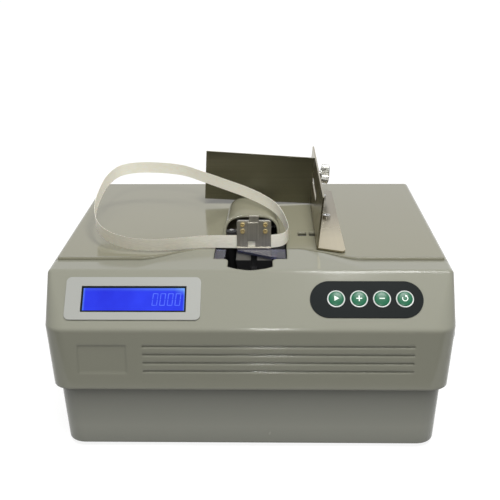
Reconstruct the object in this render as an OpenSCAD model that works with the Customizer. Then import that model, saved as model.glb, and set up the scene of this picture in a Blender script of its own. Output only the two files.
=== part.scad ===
// Desktop banknote strapping machine with a paper tape loop.
// X runs to the right, Y to the back and Z up. The origin lies on the table, under the
// middle of the machine's bounding box. Inside the modules the cover's front edge is Y = 0
// and its plane of symmetry is X = 0.

/* [Covers] */
// Overall width of the covers
cover_w = 340; // [330:1:350]
// Depth of the covers from the front edge to the rear wall
cover_d = 308; // [304:1:320]
// Height of the deck above the table
deck_h = 154; // [152:1:158]
// Height of the covers' lower edge above the table
skirt_h = 59; // [56:1:62]
// Height of the edge between the front face and the sloping panel
brow_h = 114; // [111:1:116]
// Distance of the panel's crest behind the front edge
crest_y = 36; // [34:1:38]
// Drop of the crest below the deck
crest_drop = 1; // [0.5:0.5:2]
// Wall thickness of the covers
wall = 3; // [2.5:0.5:3.5]
// Plan radius of the front corners
corner_r = 18; // [15:1:20]
// Plan radius of the rear corners
rear_corner_r = 7; // [6:1:9]
// Inward draft of the side walls between brow and skirt
side_draft = 3.4; // [2:0.2:4]
// Inward draft of the front and rear walls between brow and skirt
end_draft = 1.7; // [1:0.1:2.5]
// Gap along the seam between the two covers
seam_gap = 0.5; // [0.3:0.1:0.8]
// Distance of the seam behind the front edge at the side walls
seam_side_y = 60; // [58:1:62]
// Distance of the seam behind the front edge beside the tape opening
seam_mid_y = 81; // [79:1:83]
// Width of the rolled lip along the seam
lip_w = 3; // [2:0.5:4]
// Height of the rolled lip above the deck
lip_h = 1; // [0.6:0.1:1.4]
// Rise of the front cover's swell beside the tape opening
swell_rise = 2; // [1:0.5:2.5]

/* [Front face] */
// Number of grooves across the front
groove_n = 4; // [3:1:4]
// Distance between grooves
groove_pitch = 7.6; // [6.5:0.1:8]
// Height of a groove
groove_w = 1.6; // [1.2:0.1:2.4]
// Depth of a groove
groove_depth = 1; // [0.6:0.1:1.4]
// Width of the bare recess
recess_w = 40; // [36:1:44]
// Height of the bare recess
recess_h = 25.6; // [22:0.2:28]
// Depth of the bare recess
recess_depth = 0.5; // [0.3:0.1:0.8]

/* [Tape opening and hood] */
// Width of the opening
mouth_w = 63; // [60:1:65]
// Distance of the opening's rear edge behind the front edge
mouth_rear_y = 118; // [117:1:119]
// Width of the bay in the front cover
bay_w = 38; // [36:1:40]
// Radius of the bay's front arc
bay_r = 29.5; // [28:0.5:31]
// Distance of the bay's front behind the front edge
bay_front_y = 36; // [35.5:0.5:37]
// Width of the hood at its front
hood_w = 52; // [51:0.5:53]
// Height of the hood above the deck
hood_h = 18; // [17.5:0.5:19]
// Wall thickness of the hood
hood_wall = 2.2; // [2:0.1:2.4]
// Distance of the hood's rear end behind the front edge
hood_rear_y = 214; // [212:1:216]

/* [Base] */
// Height of the feet
foot_h = 4; // [3:0.5:5]
// Diameter of the feet
foot_d = 16; // [14:1:18]
// Overhang of the covers beyond the base's sides
overhang = 9; // [8:0.5:10]
// Inward taper of the base towards its bottom
base_taper = 3; // [2:0.5:4]
// Plan radius of the base's corners
base_r = 16; // [14:1:18]
// Wall thickness of the base
base_wall = 3; // [2.5:0.5:3.5]
// Thickness of the steel base plate
plate_t = 1.5; // [1.2:0.1:2]

/* [Display] */
// Width of the bezel
bezel_w = 112; // [108:1:116]
// Height of the bezel, up the slope
bezel_h = 37.4; // [35:0.2:39]
// Thickness of the bezel
bezel_t = 1.2; // [0.8:0.1:1.6]
// Corner radius of the bezel
bezel_r = 4.5; // [3:0.5:6]
// Width of the display frame
display_w = 86.6; // [82:0.2:90]
// Height of the display frame, up the slope
display_h = 22.4; // [20:0.2:24]
// Width of the display frame's black border
display_rim = 1.3; // [1:0.1:2]

/* [Keypad] */
// Length of the keypad plate
keypad_w = 93; // [90:1:96]
// Height of the keypad plate, up the slope
keypad_h = 32; // [30:1:34]
// Thickness of the keypad plate above the panel
keypad_t = 0.8; // [0.5:0.1:1]
// Diameter of a button
button_d = 12.6; // [11:0.2:13]
// Width of the white ring around a button
ring_w = 1; // [0.8:0.1:1.4]
// Distance between buttons
button_pitch = 18.75; // [17:0.25:19]
// Height of a button above the plate
button_proud = 1.6; // [1.4:0.1:2.2]
// Travel of a button
button_travel = 0.8; // [0.5:0.1:1]

/* [Tape] */
// Width of the paper tape
tape_w = 12; // [11:0.5:12]
// Thickness of the modelled tape
tape_t = 0.3; // [0.2:0.05:0.3]
// Outer diameter of the tape roll
roll_d = 150; // [120:5:150]

/* [Tape head] */
// Width of the head plate
head_w = 30; // [28:1:32]
// Height of the head plate above the deck
head_h = 26; // [24:1:27]
// Thickness of the head plate
head_t = 1.5; // [1.2:0.1:1.8]
// Thickness of the clear tape shelf
shelf_t = 2; // [1.5:0.5:2.5]
// Module of the gear teeth
gear_m = 0.8; // [0.8:0.1:0.8]
// Teeth of the feed gear
feed_teeth = 60; // [60:1:60]
// Teeth of the feed motor's pinion
motor_teeth = 20; // [20:1:20]
// Teeth of the press pinion
press_teeth = 17; // [17:1:18]
// Radial clearance of a shaft in its bore
run_clear = 0.05; // [0.03:0.01:0.08]

/* [Fence] */
// Height of the fence bracket above the deck
fence_h = 48; // [44:1:50]
// Length of the fence bracket
bracket_l = 196; // [190:1:200]
// Width of the bracket's flange
flange_w = 25; // [23:1:27]
// Thickness of the fence sheet
sheet_t = 1.5; // [1.2:0.1:2]
// Outward lean of the bracket's upright, in degrees
upright_lean = 5.5; // [4:0.5:6]
// Roll of the sliding plate about the depth axis, in degrees
plate_roll = 2.8; // [2:0.2:3]
// Width of the sliding plate
fence_w = 108; // [100:1:110]
// Distance of the sliding plate behind the front edge
fence_y = 226; // [225:1:228]
// Width of the slot in the upright
slot_w = 6; // [5.6:0.2:8]
// Diameter of the thumb screw's head
thumb_d = 20; // [16:1:22]

/* [Hidden] */
$fn = 64;
HULL_FN = 32;
EPS = 0.01;
half_w = cover_w / 2;
crest_h = deck_h - crest_drop;
edge_r = wall + 1;
slope_a = atan2(crest_h - brow_h, crest_y);
base_z = foot_h;
under_deck = deck_h - wall;

// --- switch and inlet sizes ---
switch_y = 31;
switch_z = brow_h - 12;
switch_bezel_d = 21;
switch_body_d = switch_bezel_d - 1.6;
inlet_w = 48;
inlet_h = 27;
inlet_x = 60 - half_w;
inlet_z = 84;
inlet_flange = 2.5;

// --- helpers ---
module at_origin() translate([-origin_x, -origin_y, 0]) children();

module rounded_plate(w, h, r) {
  square([w - 2 * r, h], center = true);
  square([w, h - 2 * r], center = true);
  for (sx = [-1, 1], sy = [-1, 1])
    translate([sx * (w / 2 - r), sy * (h / 2 - r)]) circle(r);
}

// Places flat work on the sloping panel: local x to the right, y up the slope, z outward.
module on_panel(x = 0, s = 0, out = 0)
  translate([x, 0, brow_h]) rotate([slope_a, 0, 0]) translate([0, s, out]) children();

// Places work on the front face: local y is up the face, z outward, from the brow down.
front_lean = atan2(end_draft, brow_h - skirt_h);
module on_front(x, down, out = 0)
  translate([x, 0, brow_h]) rotate([90 + front_lean, 0, 0]) translate([0, -down, out]) children();

// Involute spur gear: an outline of teeth around the pitch circle.
pressure_a = 20;
backlash = 0.12;
function inv_deg(a) = tan(a) * 180 / PI - a;
function flank(rb, r) = acos(min(1, rb / r));
function tooth_half(n, m, r) =
  let (rp = n * m / 2, rb = rp * cos(pressure_a))
  (90 / n - backlash / 2 / rp * 180 / PI) + inv_deg(pressure_a) - inv_deg(flank(rb, max(r, rb)));
function gear_points(n, m) =
  let (rp = n * m / 2, ra = rp + 0.95 * m, rr = rp - 1.2 * m, rb = rp * cos(pressure_a),
       r0 = max(rb, rr), steps = 4)
  [for (i = [0 : n - 1]) let (c = i * 360 / n) each concat(
    [let (a = c - 180 / n) rr * [cos(a), sin(a)]],
    [let (a = c - tooth_half(n, m, r0) - 0.1) rr * [cos(a), sin(a)]],
    [for (k = [0 : steps]) let (r = r0 + (ra - r0) * k / steps, a = c - tooth_half(n, m, r))
      r * [cos(a), sin(a)]],
    [for (k = [steps : -1 : 0]) let (r = r0 + (ra - r0) * k / steps, a = c + tooth_half(n, m, r))
      r * [cos(a), sin(a)]],
    [let (a = c + tooth_half(n, m, r0) + 0.1) rr * [cos(a), sin(a)]])];
module gear(n, m, h) linear_extrude(h) polygon(gear_points(n, m));

// --- covers ---
module rounded_disc(r, e) rotate_extrude($fn = 48) translate([r - e, 0]) circle(e, $fn = 16);

brow_c_z = brow_h + edge_r * (sin(slope_a) - 1) / cos(slope_a);
crest_c_z = crest_h - edge_r;
crest_c_y = ((crest_c_z - brow_h) * cos(slope_a) + edge_r) / sin(slope_a);

// The covers' common form, drawn in by inset on every side but the open bottom.
module cover_form(inset = 0) hull() for (sx = [-1, 1]) {
  translate([sx * (half_w - corner_r), corner_r, brow_c_z]) rounded_disc(corner_r - inset, edge_r - inset);
  translate([sx * (half_w - side_draft - corner_r), corner_r + end_draft, skirt_h - (inset > 0 ? 1 : 0)])
    cylinder(r = corner_r - inset, h = 1, $fn = 48);
  translate([sx * (half_w - edge_r), crest_c_y, crest_c_z]) sphere(edge_r - inset, $fn = HULL_FN);
  translate([sx * (half_w - rear_corner_r), cover_d - rear_corner_r, brow_c_z])
    cylinder(r = rear_corner_r - inset, h = 1, $fn = HULL_FN);
  translate([sx * (half_w - side_draft - rear_corner_r), cover_d - end_draft - rear_corner_r,
             skirt_h - (inset > 0 ? 1 : 0)])
    cylinder(r = rear_corner_r - inset, h = 1, $fn = HULL_FN);
  translate([sx * (half_w - edge_r), cover_d - edge_r, deck_h - edge_r])
    sphere(edge_r - inset, $fn = HULL_FN);
}

module cover_shell() difference() {
  cover_form();
  cover_form(wall);
}

// The seam in plan: straight at the sides and drawn back beside the opening.
seam_x0 = 44;
seam_x1 = 94;
function smooth(t) = t * t * (3 - 2 * t);
function seam_y(x) = seam_side_y
  + (seam_mid_y - seam_side_y) * smooth(max(0, min(1, (seam_x1 - abs(x)) / (seam_x1 - seam_x0))));
seam_steps = 14;
function seam_line(off) = concat(
  [[-cover_w, seam_side_y + off]],
  [for (i = [0 : seam_steps]) let (x = -seam_x1 + (seam_x1 - seam_x0) * i / seam_steps) [x, seam_y(x) + off]],
  [for (i = [0 : seam_steps]) let (x = seam_x0 + (seam_x1 - seam_x0) * i / seam_steps) [x, seam_y(x) + off]],
  [[cover_w, seam_side_y + off]]);
function reversed(v) = [for (i = [len(v) - 1 : -1 : 0]) v[i]];
plan_h = 2 * deck_h;

module front_plan() linear_extrude(plan_h)
  polygon(concat([[cover_w, -cover_d], [-cover_w, -cover_d]], seam_line(-seam_gap / 2)));
module rear_plan() linear_extrude(plan_h)
  polygon(concat([[cover_w, 2 * cover_d], [-cover_w, 2 * cover_d]], seam_line(seam_gap / 2)));

// The opening in plan: a wide mouth and a narrower bay with an arc at its front.
mouth_front_y = 59;
bay_flare_r = 5;
bay_steps = 12;
flare_steps = 8;
function mouth_edge(sx) = concat(
  [for (k = [0 : bay_steps]) let (a = asin(bay_w / 2 / bay_r) * k / bay_steps)
    [sx * bay_r * sin(a), bay_front_y + bay_r * (1 - cos(a))]],
  [for (k = [0 : flare_steps]) let (a = 90 * k / flare_steps)
    [sx * (bay_w / 2 + bay_flare_r * (1 - cos(a))), mouth_front_y - bay_flare_r * (1 - sin(a))]],
  [[sx * mouth_w / 2, mouth_front_y], [sx * mouth_w / 2, mouth_rear_y]]);
module mouth_plan() polygon(concat(
  mouth_edge(1), [for (p = reversed(mouth_edge(-1))) if (p[0] < 0) p]));

// The panel's upper edge swells up and back beside the opening.
swell_in_x = 40;
swell_out_x = 96;
module swell_form() hull() for (sx = [-1, 1]) {
  translate([sx * swell_in_x, seam_mid_y, deck_h + swell_rise - edge_r]) sphere(edge_r, $fn = 24);
  translate([sx * swell_out_x, crest_c_y + 1, crest_c_z]) sphere(edge_r, $fn = 24);
  translate([sx * swell_in_x, crest_c_y + 1, crest_c_z - wall]) sphere(edge_r, $fn = 24);
  translate([sx * swell_out_x, seam_side_y, crest_c_z]) sphere(edge_r, $fn = 24);
}

// --- places on the panel ---
bezel_x = 73.8 - half_w;
bezel_s = 27.2;
display_s = bezel_s - 0.6;
display_x = bezel_x + 0.6;
keypad_x = half_w - 73.9;
keypad_s = 26.8;
button_x0 = keypad_x - 25;
button_s = keypad_s + 0.3;
stem_d = 6;
stem_clear = 0.4;
through = 20;
panel_hole_w = 90;
panel_hole_h = 27;
groove_x0 = 82 - half_w;
groove_x1 = half_w - 35;
groove_top = 14.9;
recess_x = 48.4 - half_w;
recess_top = 14;
boss_d = 9;
boss_hole_d = 3;
boss_in = 16;
rear_boss_in = 24;
flange_t = 3;

rear_boss_y = cover_d - end_draft - rear_boss_in;

// Screw bosses that stand on the base's rim and reach up into the covers.
rim_z = skirt_h + flange_t;
boss_h = 20;
rib_t = 2;
front_boss_y = 30;
module cover_boss(x, y) difference() {
  union() {
    translate([x, y, rim_z]) cylinder(d = boss_d, h = boss_h);
    translate([x > 0 ? x : x - boss_reach, y - rib_t / 2, rim_z]) cube([boss_reach, rib_t, boss_h]);
  }
  translate([x, y, rim_z - 1]) cylinder(d = boss_hole_d, h = boss_h - 2);
}
boss_x = half_w - side_draft - boss_in;
boss_reach = boss_in - 0.5;

module front_cover() color([0.62, 0.61, 0.56]) difference() {
  union() {
    intersection() {
      union() {
        cover_shell();
        difference() {
          swell_form();
          translate([0, 0, -wall]) swell_form();
        }
      }
      front_plan();
    }
    for (sx = [-1, 1]) cover_boss(sx * boss_x, front_boss_y);
    keypad_posts();
  }
  translate([0, 0, skirt_h]) linear_extrude(plan_h) mouth_plan();
  on_panel(display_x, display_s) cube([panel_hole_w, panel_hole_h, through], center = true);
  for (i = [0 : 3]) on_panel(button_x0 + i * button_pitch, button_s)
    cylinder(d = stem_d + 2 * stem_clear, h = through, center = true);
  for (i = [0 : groove_n - 1]) on_front((groove_x0 + groove_x1) / 2, groove_top + i * groove_pitch)
    cube([groove_x1 - groove_x0, groove_w, 2 * groove_depth], center = true);
  on_front(recess_x, recess_top + recess_h / 2) cube([recess_w, recess_h, 2 * recess_depth], center = true);
  at_switch() rotate([0, 90, 0]) cylinder(d = switch_body_d, h = through, center = true);
}

// --- deck cover ---
hood_front_y = mouth_rear_y + 2;
hood_lean = 29;
hood_stations = 12;
hood_sides = 24;
// Height and half width of the hood at a share t of its length.
function hood_fall(t) = t < 0.55 ? 1 : sqrt(max(0, 1 - pow((t - 0.55) / 0.45, 2.4)));
function hood_taper(t) = 1 - 0.12 * t;
function arch(a, h, j) = let (th = 180 * j / hood_sides, p = 2 / 3.2)
  [a * sign(cos(th)) * pow(abs(cos(th)), p), h * pow(sin(th), p)];
function hood_ring(t, grow, root) =
  let (s = max(0.05, hood_fall(t)), a = (hood_w / 2 - grow) * hood_taper(t) * (0.55 + 0.45 * s),
       h = (hood_h - grow) * s, y0 = hood_front_y + (hood_rear_y - grow - hood_front_y) * t)
  [for (q = concat([for (j = [hood_sides : -1 : 0]) arch(a, h, j)], [[a, -root], [-a, -root]]))
      [q[0], y0 + (1 - t) * tan(hood_lean) * q[1], deck_h + q[1]]];
module loft(rings) {
  n = len(rings[0]);
  m = len(rings);
  polyhedron(
    points = [for (r = rings) each r],
    faces = concat(
      [for (j = [0 : n - 3]) [n - 1, j, j + 1]],
      [for (j = [0 : n - 3]) [m * n - 1, (m - 1) * n + j + 1, (m - 1) * n + j]],
      [for (i = [0 : m - 2], j = [0 : n - 1]) let (k = (j + 1) % n)
        each [[i * n + j, (i + 1) * n + j, (i + 1) * n + k], [i * n + j, (i + 1) * n + k, i * n + k]]]));
}
function hood_t(i) = let (u = i / hood_stations) 1 - pow(1 - u, 1.6);
module hood_form(grow, root, reach = 0) loft(concat(
  reach > 0 ? [[for (p = hood_ring(0, grow, root)) p - [0, reach, 0]]] : [],
  [for (i = [0 : hood_stations]) hood_ring(hood_t(i), grow, root)]));

slot_x = [46.7, 57];
slot_len = 10;
slot_span = 7.5;
deck_slot_y = 130;
vent_n = 12;
vent_pitch = 8;
vent_w = 3;
vent_h = 34;
vent_x0 = 20;
vent_z = 84;

module deck_cover() color([0.62, 0.61, 0.56]) difference() {
  union() {
    intersection() {
      cover_shell();
      rear_plan();
    }
    intersection() {
      translate([0, 0, deck_h - 2]) linear_extrude(2 + lip_h)
        polygon(concat(seam_line(seam_gap / 2), reversed(seam_line(lip_w))));
      translate([-half_w + edge_r, 0, 0]) cube([cover_w - 2 * edge_r, cover_d, plan_h]);
    }
    hood_form(0, wall / 2);
    for (sx = [-1, 1]) cover_boss(sx * boss_x, rear_boss_y);
  }
  translate([0, 0, skirt_h]) linear_extrude(plan_h) mouth_plan();
  hood_form(hood_wall, wall + 2, 20);
  for (x = slot_x) translate([x - slot_span / 2, deck_slot_y - slot_len / 2, under_deck - 2])
    cube([slot_span, slot_len, wall + 4]);
  for (y = bracket_hole_y) translate([bracket_hole_x, y, under_deck - 2])
    cylinder(d = bracket_screw_d, h = wall + 4);
  for (i = [0 : vent_n - 1]) translate([vent_x0 + i * vent_pitch, cover_d - 2 * wall - 4, vent_z])
    cube([vent_w, 4 * wall + 4, vent_h]);
  on_rear(inlet_x, inlet_z, -through) linear_extrude(2 * through) inlet_body();
}

// --- base ---
base_half = half_w - overhang;
base_front_y = 5;
base_edge_r = 2;
base_rear_y = cover_d - base_front_y;
module base_form(inset, z0, z1) hull() for (sx = [-1, 1], back = [0, 1]) {
  y_top = back ? base_rear_y - base_r : base_front_y + base_r;
  y_low = back ? y_top - base_taper : y_top + base_taper;
  translate([sx * (base_half - base_r), y_top, z1 - 1]) cylinder(r = base_r - inset, h = 1, $fn = 48);
  translate([sx * (base_half - base_taper - base_r), y_low, z0 + (inset > 0 ? -1 : base_edge_r)])
    if (inset > 0) cylinder(r = base_r - inset, h = 1, $fn = 48);
    else rounded_disc(base_r, base_edge_r);
}
rim_clear = 0.5;
screw_clear = 0.3;
lug_r = 7;
foot_in = 24;
foot_x = base_half - foot_in;
foot_y = [base_front_y + foot_in, base_rear_y - foot_in];
corner_boss_h = 14;
plate_top = base_z + plate_t;
plate_gap = 0.4;
module base_shell() color([0.55, 0.54, 0.50]) difference() {
  union() {
    difference() {
      union() {
        base_form(0, base_z, skirt_h + EPS);
        translate([0, cover_d / 2, skirt_h]) linear_extrude(flange_t) rounded_plate(
          2 * (half_w - side_draft - wall - rim_clear), cover_d - 2 * (end_draft + wall + rim_clear),
          corner_r - wall);
      }
      base_form(base_wall, base_z, skirt_h + 2 * flange_t);
    }
    for (sx = [-1, 1], y = [front_boss_y, rear_boss_y]) {
      translate([sx * boss_x, y, skirt_h]) cylinder(r = lug_r, h = flange_t);
      translate([sx > 0 ? boss_x : -base_half + 1, y - lug_r, skirt_h])
        cube([base_half - 1 - boss_x, 2 * lug_r, flange_t]);
    }
    // corner bosses that the base plate is screwed to
    for (sx = [-1, 1], y = foot_y) {
      translate([sx * foot_x, y, plate_top]) cylinder(d = boss_d, h = corner_boss_h);
      translate([sx > 0 ? foot_x : -foot_x - foot_in + base_taper + 1, y - 1, plate_top])
        cube([foot_in - base_taper - 1, 2, corner_boss_h]);
    }
  }
  for (sx = [-1, 1], y = [front_boss_y, rear_boss_y])
    translate([sx * boss_x, y, skirt_h - 1]) cylinder(d = boss_hole_d + 2 * screw_clear, h = flange_t + 2);
  for (sx = [-1, 1], y = foot_y)
    translate([sx * foot_x, y, plate_top - 1]) cylinder(d = boss_hole_d, h = corner_boss_h - 1);
}

slot_n = 10;
slot_pitch = 9;
plate_slot_w = 3;
plate_slot_l = 40;
module base_plate() color([0.72, 0.73, 0.74]) difference() {
  in = base_taper + base_wall + plate_gap;
  translate([0, cover_d / 2, base_z]) linear_extrude(plate_t)
    rounded_plate(2 * (base_half - in), base_rear_y - base_front_y - 2 * in, base_r - base_wall);
  for (sx = [-1, 1], y = foot_y)
    translate([sx * foot_x, y, base_z - 1]) cylinder(d = boss_hole_d + 2 * screw_clear, h = plate_t + 2);
  for (i = [0 : slot_n - 1], y = [90, 190])
    translate([(i - (slot_n - 1) / 2) * slot_pitch - plate_slot_w / 2, y, base_z - 1])
      cube([plate_slot_w, plate_slot_l, plate_t + 2]);
}

foot_bore_d = 7;
foot_web = 1.4;
module rubber_feet() color([0.08, 0.08, 0.08]) for (sx = [-1, 1], y = foot_y)
  translate([sx * foot_x, y, 0]) rotate_extrude() difference() {
    polygon([[0, 0], [foot_d / 2 - 1, 0], [foot_d / 2, 1], [foot_d / 2 - 0.6, foot_h], [0, foot_h]]);
    translate([-1, -1]) square([1 + foot_bore_d / 2, 1 + foot_h - foot_web]);
    translate([-1, -1]) square([1 + boss_hole_d / 2 + screw_clear, foot_h + 2]);
  }

screw_head_d = 6;
screw_head_h = 2;
module pan_screw(length, head_d = screw_head_d, head_h = screw_head_h, shank_d = boss_hole_d - 0.04) {
  difference() {
    translate([0, 0, -head_h]) cylinder(d = head_d, h = head_h);
    for (a = [0, 90]) rotate([0, 0, a]) translate([-head_d * 0.3, -head_h * 0.15, -head_h - 1])
      cube([head_d * 0.6, head_h * 0.3, 1 + head_h * 0.45]);
  }
  cylinder(d = shank_d, h = length);
}
module base_screws() color("silver") for (sx = [-1, 1], y = foot_y)
  translate([sx * foot_x, y, foot_h - foot_web]) pan_screw(foot_web + plate_t + corner_boss_h - 4);
module cover_screws() color("silver") for (sx = [-1, 1], y = [front_boss_y, rear_boss_y])
  translate([sx * boss_x, y, skirt_h]) pan_screw(flange_t + boss_h - 4);

// --- display ---
board_t = 1.6;
board_margin = 8;
chip = [14, 14, 2];
plug = [20, 6, 6];
display_rise = 0.6;
display_gap = 0.2;
module display_bezel() color([0.74, 0.74, 0.72])
  on_panel(bezel_x, bezel_s) linear_extrude(bezel_t) difference() {
    rounded_plate(bezel_w, bezel_h, bezel_r);
    translate([display_x - bezel_x, display_s - bezel_s])
      square([display_w + 2 * display_gap, display_h + 2 * display_gap], center = true);
  }
module display_frame() color([0.03, 0.03, 0.05])
  on_panel(display_x, display_s, -wall) difference() {
    translate([0, 0, (wall + display_rise) / 2])
      cube([display_w, display_h, wall + display_rise], center = true);
    translate([0, 0, wall])
      cube([display_w - 2 * display_rim, display_h - 2 * display_rim, 2 * wall - 2], center = true);
  }
glass_t = 2.2;
module display_glass() color([0.15, 0.2, 0.95]) on_panel(display_x, display_s, 1 - wall)
  translate([0, 0, glass_t / 2])
    cube([display_w - 2 * display_rim - 0.1, display_h - 2 * display_rim - 0.1, glass_t], center = true);
module display_board() color([0.05, 0.3, 0.15]) on_panel(display_x, display_s, -wall - board_t) {
  linear_extrude(board_t)
    square([panel_hole_w + board_margin, panel_hole_h + board_margin], center = true);
  translate([-30, 0, -chip[2] / 2]) cube(chip, center = true);
  translate([20, 6, -plug[2] / 2]) cube(plug, center = true);
}

// --- keypad ---
ring_gap = 0.1;
module keypad_outline() {
  square([keypad_w - keypad_h, keypad_h], center = true);
  for (sx = [-1, 1]) translate([sx * (keypad_w - keypad_h) / 2, 0]) circle(d = keypad_h, $fn = 96);
}
ring_d = button_d + 2 * (ring_gap + ring_w);
module at_button(i, out = 0) on_panel(button_x0 + i * button_pitch, button_s, out) children();
module keypad_plate() color([0.1, 0.11, 0.11]) difference() {
  on_panel(keypad_x, keypad_s) linear_extrude(keypad_t) keypad_outline();
  for (i = [0 : 3]) at_button(i, -1) cylinder(d = ring_d, h = keypad_t + 2);
}
ring_proud = 0.5;
module button_rings() color([0.92, 0.93, 0.92]) for (i = [0 : 3]) at_button(i) rotate_extrude()
  translate([button_d / 2 + ring_gap, 0]) polygon([[0, 0], [ring_w, 0], [ring_w, keypad_t], [ring_w * 0.7,
    keypad_t + ring_proud], [0, keypad_t + ring_proud - 0.1]]);
// Buttons: a domed cap on a stem that passes through the panel and is held by a collar.
button_gap = 0.1;
dome_h = 0.8;
collar_t = 1;
stem_end = wall + 3;
module button_cap(i) color([0.05, 0.42, 0.27]) at_button(i) {
  z0 = button_travel + button_gap;
  z1 = keypad_t + button_proud - dome_h;
  rotate_extrude() polygon(concat(
    [[0, z0], [button_d / 2, z0]],
    [for (a = [0 : 15 : 90]) [button_d / 2 * cos(a), z1 + dome_h * sin(a)]]));
  translate([0, 0, -stem_end]) cylinder(d = stem_d, h = stem_end + z0);
  translate([0, 0, -wall - button_gap - collar_t]) cylinder(d = stem_d + 3, h = collar_t);
}
module start_button() button_cap(0);
module plus_button() button_cap(1);
module minus_button() button_cap(2);
module reset_button() button_cap(3);

key_switch_h = 1.6;
key_switch_w = 6;
key_plunger_d = 3.4;
key_board_z = -stem_end - button_travel - button_gap - key_switch_h;
key_board_w = 3 * button_pitch + 22;
key_board_h = 26;
key_post_s = 9.5;
key_post_d = 5;
module keypad_board() color([0.05, 0.3, 0.15]) {
  on_panel(button_x0 + 1.5 * button_pitch, button_s, key_board_z - board_t)
    linear_extrude(board_t) square([key_board_w, key_board_h], center = true);
  for (i = [0 : 3]) at_button(i, key_board_z) {
    translate([0, 0, key_switch_h / 4 - EPS])
      cube([key_switch_w, key_switch_w, key_switch_h / 2], center = true);
    translate([0, 0, -EPS]) cylinder(d = key_plunger_d, h = key_switch_h + EPS);
  }
}
// posts under the panel that carry the keypad board
module keypad_posts() for (i = [0.5, 2.5], ds = [-key_post_s, key_post_s])
  on_panel(button_x0 + i * button_pitch, button_s + ds, key_board_z)
    cylinder(d = key_post_d, h = -key_board_z - 1);

// --- chassis ---
chassis_t = 2;
// The tape mechanism hangs together below and above the deck, so its heights follow the deck.
chassis_z = deck_h - 36;
chassis_x0 = -half_w + 20;
chassis_x1 = 62;
chassis_y0 = 55;
chassis_y1 = cover_d - 18;
chassis_r = 8;
shaft_hole_d = 12;
pinion_hole_d = 10;
// Windows in the chassis plate: centre, then width and depth.
chassis_windows = [[25, 215, 50, 100], [-115, 110, 50, 60]];
pillar_x = [chassis_x0 + 30, chassis_x1 - 12];
pillar_y = [chassis_y0 + 15, chassis_y1 - 20];
pillar_d = 10;
pillar_foot_d = 18;
pillar_foot_t = 2;
feed_x = -17.65;
feed_y = 104;
gear_gap = (feed_teeth + motor_teeth) * gear_m / 2;
motor_x = feed_x - gear_gap;
reel_x = -roll_d / 2;
reel_y = cover_d - 98;
module chassis_plate() color([0.75, 0.76, 0.77]) translate([0, 0, chassis_z - chassis_t]) difference() {
  linear_extrude(chassis_t) difference() {
    translate([(chassis_x0 + chassis_x1) / 2, (chassis_y0 + chassis_y1) / 2])
      rounded_plate(chassis_x1 - chassis_x0, chassis_y1 - chassis_y0, chassis_r);
    translate([feed_x, feed_y]) circle(d = shaft_hole_d);
    translate([motor_x, feed_y]) circle(d = pinion_hole_d);
    for (w = chassis_windows) translate([w[0], w[1]]) rounded_plate(w[2], w[3], chassis_r);
  }
}
module chassis_pillars() color([0.8, 0.8, 0.82]) for (x = pillar_x, y = pillar_y)
  translate([x, y, plate_top]) {
    cylinder(d = pillar_d, h = chassis_z - chassis_t - plate_top);
    cylinder(d = pillar_foot_d, h = pillar_foot_t);
  }

// --- reel ---
spindle_d = 8;
spindle_boss_h = 15;
spindle_boss_d = 20;
reel_z = chassis_z + spindle_boss_h + run_clear;
reel_flange_t = 2;
reel_flange_d = 100;
reel_hub_d = 38;
hub_hole_r = 13.5;
hub_hole_d = 7;
flange_hole_r = 35;
flange_hole_d = 18;
module reel_spindle() color("silver") translate([reel_x, reel_y, chassis_z]) {
  cylinder(d = spindle_boss_d, h = spindle_boss_h);
  cylinder(d = spindle_d, h = under_deck - 1 - chassis_z);
}
module reel_flange() color([0.1, 0.1, 0.1]) translate([reel_x, reel_y, reel_z]) difference() {
  union() {
    cylinder(d = reel_flange_d, h = reel_flange_t, $fn = 96);
    cylinder(d = reel_hub_d, h = reel_flange_t + tape_w);
  }
  translate([0, 0, -1]) cylinder(d = spindle_d + 2 * run_clear, h = reel_flange_t + tape_w + 2);
  for (a = [0 : 60 : 300]) rotate([0, 0, a]) {
    translate([hub_hole_r, 0, -1]) cylinder(d = hub_hole_d, h = reel_flange_t + tape_w + 2);
    translate([flange_hole_r, 0, -1]) cylinder(d = flange_hole_d, h = reel_flange_t + 2);
  }
}
module tape_roll() color([0.85, 0.8, 0.7]) translate([reel_x, reel_y, reel_z + reel_flange_t])
  linear_extrude(tape_w) difference() {
    circle(d = roll_d, $fn = 96);
    circle(d = reel_hub_d);
  }

// --- feed drive ---
feed_shaft_d = 4;
feed_gear_z = chassis_z - chassis_t - 10;
gear_t = 7;
gear_hub_d = 10;
web_hole_r = 14;
web_hole_d = 9;
roller_z = deck_h + 1;
roller_h = 10;
feed_roller_r = 5;
pinch_roller_r = 4;
nip_gap = 0.2;
nip_x = feed_x + feed_roller_r + nip_gap + tape_t / 2;
pinch_x = nip_x + tape_t / 2 + nip_gap + pinch_roller_r;
pinch_pin_d = 3;
motor_d = 28;
motor_h = 30;
module feed_gear() color([0.9, 0.9, 0.85]) translate([feed_x, feed_y, feed_gear_z]) difference() {
  union() {
    gear(feed_teeth, gear_m, gear_t);
    translate([0, 0, gear_t]) cylinder(d = gear_hub_d, h = 1);
  }
  translate([0, 0, -1]) cylinder(d = feed_shaft_d, h = gear_t + 3);
  for (a = [0 : 60 : 300]) rotate([0, 0, a]) translate([web_hole_r, 0, -1])
    cylinder(d = web_hole_d, h = gear_t + 2);
}
module feed_shaft() color("silver") translate([feed_x, feed_y, feed_gear_z - 1])
  cylinder(d = feed_shaft_d, h = roller_z + roller_h + 2 - feed_gear_z);
module feed_roller() color([0.15, 0.15, 0.15]) translate([feed_x, feed_y, roller_z]) difference() {
  cylinder(r = feed_roller_r, h = roller_h);
  translate([0, 0, -1]) cylinder(d = feed_shaft_d, h = roller_h + 2);
}
motor_shaft_in = 10;
motor_ears = [45, 225];
ear_d = 7;
ear_t = 2;
ear_hole_d = 3;
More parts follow.
